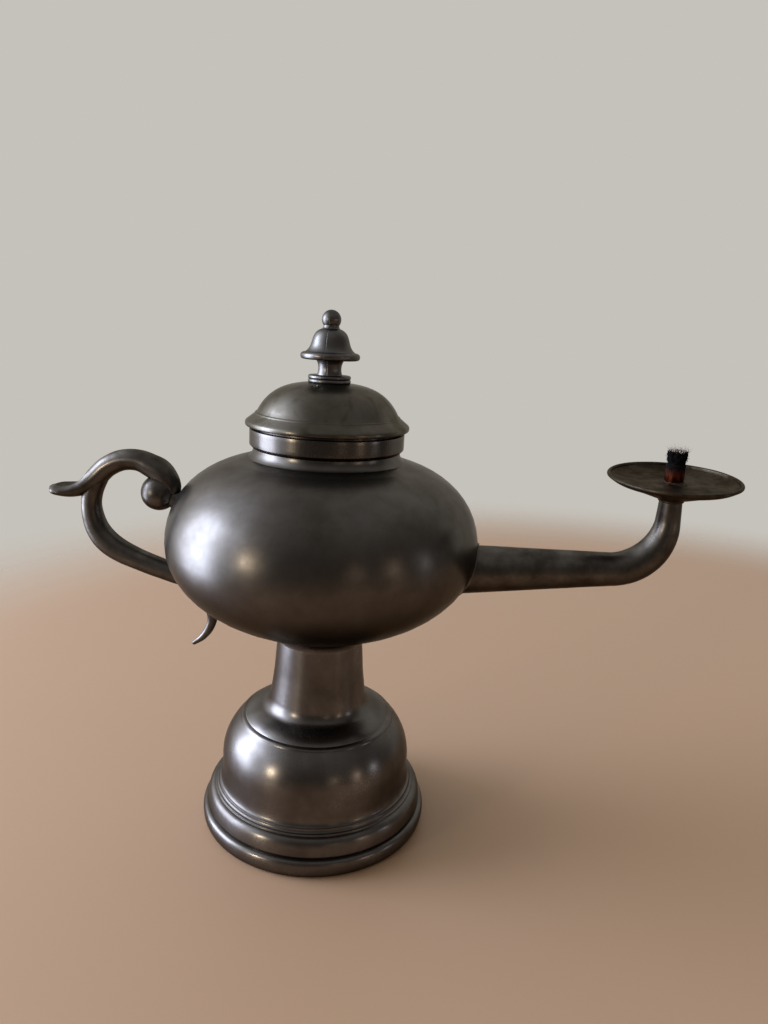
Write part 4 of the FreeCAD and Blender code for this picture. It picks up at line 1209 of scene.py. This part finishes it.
@dataclass(frozen=True)
class Handle:
    """The scroll handle: a curled bar with a ball and a leaf, and a limb that curls to a tip."""

    sides: int = 48
    swell: Pair = (0.06, 5.0)
    steps: int = 6
    font_radius: float = Font.radius
    font_middle: float = Font.middle
    stand_out: float = 46.6
    rise: float = 27.6
    scroll_height: float = 4.2
    scroll_width: float = 7.0
    scroll_places: Pairs = (
        (0.984, 0.424), (0.946, 0.416), (0.884, 0.411), (0.803, 0.422), (0.721, 0.479), (0.631, 0.601),
        (0.545, 0.743), (0.449, 0.834), (0.36, 0.868), (0.27, 0.862), (0.187, 0.809), (0.118, 0.748),
        (0.066, 0.65), (0.033, 0.535), (0.043, 0.42))
    scroll_heights: tuple[float, ...] = (0.25, 0.457, 0.562, 0.663, 0.774, 0.9, 0.9, 0.905, 0.91, 0.94, 1.01, 1.09,
                                         1.05, 0.91, 0.72)
    scroll_widths: tuple[float, ...] = (0.43, 0.9, 1.0, 0.914, 0.757, 0.614, 0.557, 0.547, 0.547, 0.563, 0.6, 0.61,
                                        0.585, 0.525, 0.431)
    ball_radius: float = 6.5
    ball_place: Pair = (0.124, 0.46)
    pad_radius: float = 3.4
    pad_start: Pair = (0.075, 0.45)
    pad_end: Pair = (-0.12, 0.28)
    pad_steps: int = 4
    cap_turns: Triple = (25.0, 50.0, 75.0)
    dish_radius: float = 9.0
    dish_depth: float = 0.8
    dish_place: Pair = (0.869, 0.465)
    limb_radius: float = 4.35
    limb_places: Pairs = (
        (0.6, 0.64), (0.66, 0.42), (0.679, 0.205), (0.652, -0.036), (0.582, -0.228), (0.463, -0.375),
        (0.271, -0.505), (0.047, -0.62), (-0.127, -0.71), (-0.23, -0.856), (-0.279, -1.038), (-0.301, -1.225),
        (-0.272, -1.387), (-0.217, -1.52), (-0.149, -1.614))
    limb_radii: tuple[float, ...] = (0.79, 0.828, 0.839, 0.931, 1.0, 0.977, 0.897, 0.85, 0.793, 0.667, 0.529, 0.43,
                                     0.368, 0.294, 0.2)

    def point(self, place: Pair) -> Vector:
        """A point of the handle, from shares of its stand-out and of its rise."""
        return Vector((-self.font_radius - self.stand_out * place[0], 0, self.font_middle + self.rise * place[1]))

    def bar(self, places: Sequence[Pair], heights: Sequence[float],
            widths: Sequence[float]) -> list[Section]:
        """The sections of a bar that flows through a row of places.

        Args:
            places: The places, in shares of the handle's sizes.
            heights: The half height of the bar at each of them, in millimetres.
            widths: The half width at each of them.

        Returns:
            The closer row of sections.
        """
        centres = flowing([self.point(place) for place in places], self.steps)
        sizes = flowing([Vector((height, width, 0)) for height, width in zip(heights, widths)], self.steps)
        return [Section(centre, heading, size.x, size.y)
                for centre, heading, size in zip(centres, headings(centres), sizes)]

    def ball(self, radius: float, centre: Vector) -> BMesh:
        """A closed ball about a point of the handle."""
        return ball(radius, Matrix.Translation(centre), self.sides, self.sides // 2)

    def scroll(self) -> BMesh:
        """The upper scroll: the leaf with its thumb hollow, the arch, the curl, the ball and the foot behind it."""
        row = self.bar(self.scroll_places, [share * self.scroll_height for share in self.scroll_heights],
                       [share * self.scroll_width for share in self.scroll_widths])
        dish = self.point(self.dish_place) + UP * (self.dish_radius - self.dish_depth)
        mesh = combined(swept(self.rounded(row), self.sides), self.ball(self.dish_radius, dish), Join.CUT)
        mesh = combined(mesh, self.ball(self.ball_radius, self.point(self.ball_place)), Join.ADD)
        start, end = self.point(self.pad_start), self.point(self.pad_end)
        pad = [Section(start.lerp(end, step / self.pad_steps), (end - start).normalized(), self.pad_radius,
                       self.pad_radius) for step in range(self.pad_steps + 1)]
        return combined(mesh, swept(pad, self.sides), Join.ADD)

    def cap(self, end: Section, out: float) -> list[Section]:
        """Ever smaller sections that round one end of a bar.

        Args:
            end: The bar's last section on that side.
            out: 1 where the bar's heading points out of it, and -1 where it points into it.

        Returns:
            The sections, from the end outwards.
        """
        reach = out * min(end.height, end.width)
        return [Section(end.centre + end.heading * reach * math.sin(turn), end.heading, end.height * math.cos(turn),
                        end.width * math.cos(turn)) for turn in map(math.radians, self.cap_turns)]

    def rounded(self, row: list[Section]) -> list[Section]:
        """A bar with both its ends rounded."""
        return [*reversed(self.cap(row[0], -1.0)), *row, *self.cap(row[-1], 1.0)]

    def limb(self) -> BMesh:
        """The lower limb."""
        radii = [share * self.limb_radius for share in self.limb_radii]
        return swept(self.rounded(self.bar(self.limb_places, radii, radii)), self.sides)

    def build(self) -> None:
        """Builds and dresses the handle."""
        for name, mesh, node in (("handle_upper_scroll", self.scroll(), "handle_scroll"),
                                 ("handle_lower_limb", self.limb(), "handle_limb")):
            finished(name, uneven(mesh, *self.swell), Body.LAMP, CAST_PEWTER, [node])
        kept("handle_solder", SOLDER)
        kept("spout_solder", SOLDER)


# The burner and its wick


@dataclass(frozen=True)
class Burner:
    """The drip pan with its cone, wick tube and wick, built upright about the origin.

    Of the wick's burnt head, lumps and end_lump pair how closely its swells lie with how deep they are,
    and freed says how soon above the tube it spreads. fibre_sizes pairs places along a fibre with its
    thickness there.
    """

    place: Matrix
    sides: int = 128
    pan_radius: float = 21.65
    rim_height: float = 8.3
    rim_roll: float = 0.55
    floor_height: float = 6.1
    floor_radius: float = 12.0
    pan_wall: float = 1.1
    under_pole: float = 0.9
    top_pole: float = 0.87
    cone_radius: float = 19.5
    cone_height: float = 6.35
    cone_foot_radius: float = 4.2
    cone_foot_height: float = 0.7
    cone_wall: float = 1.1
    tube_radius: float = 3.1
    tube_wall: float = 0.4
    tube_stand: float = 6.6
    plug_depth: float = 6.6
    collar_radius: float = 4.9
    collar_height: float = 0.9
    collar_pole: float = 0.2
    head_radius: float = 3.2
    head_height: float = 4.2
    wick_gap: float = 0.3
    edge: float = 0.12
    roll_end: Pair = (1.3, 0.6)
    pan_swell: Pair = (0.06, 7.0)
    tube_swell: Pair = (0.03, 3.0)
    collar_swell: Pair = (0.25, 1.6)
    soot_below: float = 2.3
    soot_above: float = 1.2
    head_sides: int = 60
    head_taper: Pair = (0.86, 0.96)
    head_cuts: int = 22
    cap_rings: int = 6
    cap_ring: float = 0.12
    strands: int = 4
    twist: int = 5
    braid_depth: float = 0.28
    lumps: Pairs = ((0.9, 0.35), (2.6, 0.16))
    freed: Pair = (4.0, 0.1)
    end_from: float = 0.97
    end_lump: Pair = (1.7, 0.25)
    end_drop: float = 0.1
    fibre_corners: int = 5
    fibre_sizes: Pairs = ((0.0, 1.0), (0.35, 0.85), (0.7, 0.6), (1.0, 0.25))
    fibre_side: Triple = (0.31, 0.87, 0.38)
    fibre_sink: float = 0.3
    fibre_back: float = -0.2
    fibre_root: float = 0.95
    fibre_heights: Pair = (0.1, 1.0)
    fibre_rise: Pair = (-0.4, 1.2)
    fibre_curl: float = 0.5

    @property
    def tube_top(self) -> float:
        """The height of the wick tube's mouth."""
        return self.floor_height + self.tube_stand

    @property
    def head_foot(self) -> float:
        """The height at which the wick's burnt head begins."""
        return self.tube_top + self.wick_gap

    def pan(self) -> BMesh:
        """The dish with its rolled rim."""
        rim, middle = self.pan_radius - self.rim_roll, self.rim_height - self.rim_roll
        under, roll, round_by = self.floor_height - self.pan_wall, self.rim_roll, self.rim_roll * 4 / 3
        shape = Outline(self.tube_radius, under)
        shape.line((self.floor_radius, under))
        shape.curve((rim * self.under_pole, under), (rim, middle - roll), soft=self.edge)
        shape.curve((rim + round_by, middle - roll), (rim + round_by, middle + roll), (rim, middle + roll))
        shape.curve((rim - round_by, middle + roll),
                    (rim - roll * self.roll_end[0], middle - roll * self.roll_end[1]), soft=self.edge)
        shape.curve((rim * self.top_pole, self.floor_height), (self.floor_radius, self.floor_height))
        shape.line((self.tube_radius, self.floor_height))
        return uneven(shape.turned(self.sides), *self.pan_swell)

    def cone(self) -> BMesh:
        """The shallow cone under the dish, whose foot sits on the spout."""
        inner_foot = self.cone_foot_height + self.cone_wall
        shape = Outline(self.tube_radius, 0)
        shape.line((self.cone_foot_radius, 0), (self.cone_foot_radius, self.cone_foot_height), soft=self.edge)
        shape.line((self.cone_radius, self.cone_height), (self.floor_radius, self.floor_height - self.pan_wall),
                   (self.cone_foot_radius, inner_foot), (self.tube_radius, inner_foot))
        return shape.turned(self.sides)

    def tube(self) -> BMesh:
        """The thin wick tube."""
        inner = self.tube_radius - self.tube_wall
        shape = Outline(inner, -self.plug_depth)
        shape.line((self.tube_radius, -self.plug_depth))
        shape.line((self.tube_radius, self.tube_top), (inner, self.tube_top), soft=self.edge)
        return uneven(shape.turned(self.sides), *self.tube_swell)

    def collar(self) -> BMesh:
        """The fillet of solder round the tube's foot."""
        low, top = self.floor_height, self.floor_height + self.collar_height
        shape = Outline(self.tube_radius, low)
        shape.line((self.collar_radius, low))
        shape.curve((between(self.tube_radius, self.collar_radius, self.collar_pole),
                     low + self.collar_height * self.collar_pole), (self.tube_radius, top))
        return uneven(shape.turned(self.sides), *self.collar_swell)

    def head(self) -> BMesh:
        """The burnt end of the wick: a lumpy braid that spreads over the tube's mouth."""
        mesh = bmesh.new()
        foot, top = [self.head_radius * share for share in self.head_taper]
        bmesh.ops.create_cone(mesh, cap_ends=True, cap_tris=False, segments=self.head_sides, radius1=foot,
                              radius2=top, depth=self.head_height,
                              matrix=Matrix.Translation((0, 0, self.head_foot + self.head_height / 2)))
        upright = [edge for edge in mesh.edges if abs(edge.verts[0].co.z - edge.verts[1].co.z) > self.edge]
        bmesh.ops.subdivide_edges(mesh, edges=upright, cuts=self.head_cuts, use_grid_fill=True)
        caps = [face for face in mesh.faces if len(face.verts) > 4]
        for _ in range(self.cap_rings):
            bmesh.ops.inset_region(mesh, faces=caps, thickness=self.head_radius * self.cap_ring)
        for vert in mesh.verts:
            out = Vector((vert.co.x, vert.co.y, 0))
            turn = math.atan2(vert.co.y, vert.co.x) * self.strands
            height = (vert.co.z - self.head_foot) / self.head_height
            braid = abs(math.sin(turn + height * self.twist)) * abs(math.sin(turn - height * self.twist))
            lump = sum(noise.noise(vert.co * rate) * depth for rate, depth in self.lumps)
            held = min(1.0, height * self.freed[0] + self.freed[1])
            vert.co += out.normalized() * (braid * self.braid_depth + lump) * held
            if height > self.end_from:
                vert.co.z += self.end_lump[1] * noise.noise(vert.co * self.end_lump[0]) - self.end_drop
        return tidied(mesh)

    def fibres(self, count: int, length: Pair, thickness: float, spread: float, top: bool, seed: int) -> BMesh:
        """Loose cotton fibres.

        Args:
            count: How many there are.
            length: The shortest and the longest.
            thickness: The radius of a fibre at its root.
            spread: How far they lean over.
            top: Whether they stand on the wick's end, or on its side.
            seed: What the draws start from.

        Returns:
            All of them in one mesh.
        """
        draw = random.Random(seed)
        whole = bmesh.new()
        for _ in range(count):
            turn = draw.uniform(0, FULL_TURN)
            out = Vector((math.cos(turn), math.sin(turn), 0))
            if top:
                height = self.head_foot + self.head_height - self.fibre_sink
                root = out * self.head_radius * math.sqrt(draw.random()) + UP * height
                heading = (UP + out * draw.uniform(self.fibre_back, spread)).normalized()
            else:
                height = self.head_foot + self.head_height * draw.uniform(*self.fibre_heights)
                root = out * self.head_radius * self.fibre_root + UP * height
                heading = (out + UP * draw.uniform(*self.fibre_rise)).normalized()
            reach = draw.uniform(*length)
            curl = Vector([draw.uniform(-1, 1) for _ in range(3)]) * reach * spread * self.fibre_curl
            points = [root + heading * reach * share + curl * share * share for share, _ in self.fibre_sizes]
            row = [Section(point, way, thickness * size, thickness * size, side=Vector(self.fibre_side))
                   for point, way, (_, size) in zip(points, headings(points), self.fibre_sizes)]
            data = meshed("fibre", swept(row, self.fibre_corners))
            whole.from_mesh(data)
            bpy.data.meshes.remove(data)
        return whole

    def build(self) -> None:
        """Builds and dresses the burner and the wick."""
        axis = {"axis_place": tuple(self.place.translation * MM), "axis_turn": tuple(self.place.to_euler())}
        # Pewter browned by smoke and by the oil that has dripped on it
        pan = Pewter("pewter_pan_smoked", "body_pewter", rubbed="#5a5248", bloom="#40382e", stain="#2c2720",
                     stained=0.8, gloss=0.34, dull=0.5, cloud=5.0, **axis)
        # Tin solder under the same smoke
        smoked = replace(SOLDER, name="solder_smoked", rubbed="#4d453d", bloom="#3a322b")
        # Oxidised copper, sooty from a little below its mouth
        copper = Copper("copper_wick_tube", "tube_copper", soot_low=self.tube_top - self.soot_below,
                        soot_high=self.tube_top + self.soot_above, **axis)
        # Cotton burnt to char, and scorched in the tube below it
        char = Cotton("cotton_charred", "wick_char", light="#0f0c0c", dark="#030202", grain=0.35, fuzz=0.0,
                      shine=0.12)
        scorched = replace(char, name="cotton_scorched", slot="wick_cotton", light="#2a2420", dark="#0d0b0a")
        # Cotton that frays pale at the top, and new cotton in the oil
        ash = Cotton("cotton_frayed_pale", "wick_cotton", light="#e2dace", dark="#a59c90", grain=0.6)
        cotton = Cotton("cotton_wick", "wick_cotton")
        fuzz = self.fibres(count=150, length=(0.25, 0.8), thickness=0.05, spread=0.9, top=False, seed=7)
        fray = self.fibres(count=120, length=(0.7, 2.2), thickness=0.055, spread=0.8, top=True, seed=11)
        for name, mesh, body, finish, nodes in (
                ("drip_pan_dish", self.pan(), Body.BURNER, pan, ["drip_pan"]),
                ("drip_pan_cone", self.cone(), Body.BURNER, pan, ["pan_cone"]),
                ("copper_tube", self.tube(), Body.BURNER, copper, ["wick_tube"]),
                ("tube_solder_collar", self.collar(), Body.BURNER, smoked, ["tube_collar"]),
                ("wick_burnt_head", self.head(), Body.WICK, char, ["wick_head"]),
                ("wick_black_fuzz", fuzz, Body.WICK, char, []),
                ("wick_pale_fray", fray, Body.WICK, ash, [])):
            finished(name, moved(mesh, self.place), body, finish, nodes)
        kept("wick_core", scorched)
        kept("wick_tail", cotton)


# The studio


@dataclass(frozen=True)
class Studio:
    """A pale floor that fades into the wall, soft light and the camera at the photograph's place."""

    camera_place: Triple = (45.78, -259.6, 185.21)
    camera_ahead: Triple = (-0.0916, 0.966, -0.2417)
    camera_up: Triple = (-0.0783, 0.235, 0.9688)
    lens: float = 26.81
    floor_radius: float = 1400.0
    floor_sides: int = 96
    floor_colour: str = "#cba787"
    floor_rough: float = 0.45
    floor_middle: Pair = (150.0, 40.0)
    floor_full: float = 350.0
    floor_gone: float = 540.0
    wall_colour: str = "#c5c2bb"
    ceiling_colour: str = "#8f8c88"
    room_colour: str = "#544e49"
    wall_range: Pair = (0.15, 0.8)
    ceiling_range: Pair = (0.3, 0.9)
    glow_way: Triple = (-0.97, -0.02, 0.22)
    glow_colour: str = "#dfe6f4"
    glow_gain: float = 4.5
    glow_from: float = 0.35
    glow_power: float = 2.5
    aim_height: float = 90.0
    lamps: tuple[tuple[str, Triple, float, float, float, str], ...] = (
        ("window", (-900.0, -50.0, 130.0), 500.0, 1000.0, 13.0, "#d6e2ff"),
        ("warm_lamp", (-800.0, -890.0, 215.0), 44.0, 44.0, 2.0, "#ffeccf"),
        ("side_lamp", (1020.0, -620.0, 160.0), 44.0, 44.0, 0.3, "#ffe4cc"),
        ("far_lamp", (1190.0, -160.0, 160.0), 44.0, 44.0, 0.22, "#f4f7ff"),
        ("dim_lamp", (620.0, -1020.0, 170.0), 200.0, 200.0, 0.12, "#ffe2c4"),
    )

    def camera(self) -> None:
        """Places the camera."""
        data = bpy.data.cameras.new("camera")
        data.lens, data.clip_start = self.lens, MM
        camera = linked("camera", data)
        ahead = Vector(self.camera_ahead).normalized()
        right = ahead.cross(Vector(self.camera_up)).normalized()
        turn = Matrix((right, right.cross(ahead), -ahead)).transposed().to_4x4()
        camera.matrix_world = Matrix.Translation(Vector(self.camera_place) * MM) @ turn
        bpy.context.scene.camera = camera

    def floor(self) -> None:
        """Lays the floor, whose paint thins out with the distance, so that no edge shows."""
        mesh = bmesh.new()
        bmesh.ops.create_circle(mesh, cap_ends=True, segments=self.floor_sides, radius=self.floor_radius * MM)
        data = meshed("floor", mesh)
        material = bpy.data.materials.new("painted_table")
        tree = Tree(material)
        reach = tree.vector("DISTANCE", tree.point(), tuple(Vector((*self.floor_middle, 0)) * MM))
        gone = tree.ranged(reach, self.floor_full * MM, self.floor_gone * MM, interpolation_type="SMOOTHSTEP")
        paint = tree.add("BsdfPrincipled", {"Base Color": self.floor_colour, "Roughness": self.floor_rough})
        surface = tree.add("MixShader", {0: gone, 1: paint.outputs[0], 2: tree.add("BsdfTransparent").outputs[0]})
        tree.add("OutputMaterial", {"Surface": surface.outputs[0]})
        data.materials.append(material)
        linked("floor", data)

    def world(self) -> None:
        """Paints the room: a pale wall behind, a grey ceiling, a window's glow and a dim front.

        The camera itself sees the plain wall on every side.
        """
        world = bpy.context.scene.world = bpy.data.worlds.new("room")
        tree = Tree(world)
        way = tree.point("Generated")
        near = tree.vector("DOT_PRODUCT", way, self.glow_way)
        glow = tree.scalar("POWER", tree.ranged(near, self.glow_from, 1.0), self.glow_power)
        seen = tree.add("LightPath").outputs["Is Camera Ray"]
        colour = tree.layered(
            self.room_colour, (tree.ranged(tree.part(way, "Z"), *self.ceiling_range), self.ceiling_colour),
            (tree.ranged(tree.part(way, "Y"), *self.wall_range), self.wall_colour),
            (glow, self.glow_colour), (seen, self.wall_colour))
        gain = tree.scalar("MULTIPLY_ADD", -self.glow_gain, seen, self.glow_gain)
        shade = tree.add("Background", {"Color": colour, "Strength": tree.scalar("MULTIPLY_ADD", glow, gain, 1.0)})
        tree.add("OutputWorld", {"Surface": shade.outputs[0]})

    def light(self) -> None:
        """Hangs the soft lamps, each turned to the middle of the oil lamp."""
        for name, place, width, height, power, colour in self.lamps:
            data = bpy.data.lights.new(name, "AREA")
            data.shape = "RECTANGLE"
            data.size, data.size_y = width * MM, height * MM
            data.energy, data.color = power, linear(colour)[:3]
            lamp = linked(name, data)
            lamp.visible_camera = False
            lamp.location = Vector(place) * MM
            lamp.rotation_mode = "QUATERNION"
            lamp.rotation_quaternion = (UP * self.aim_height * MM - lamp.location).to_track_quat("-Z", "Y")

    def build(self) -> None:
        """Sets up the whole studio."""
        for step in (self.camera, self.floor, self.world, self.light):
            step()
        bpy.context.scene.view_settings.view_transform = "Standard"


def main() -> None:
    """Builds the lamp and its studio."""
    logging.basicConfig(level=logging.INFO, format="%(name)s %(message)s")
    Studio().build()
    Base().build()
    Font().build()
    Lid().build()
    spout = Spout()
    spout.build()
    Handle().build()
    Burner(spout.mouth).build()


if __name__ == "__main__":
    main()
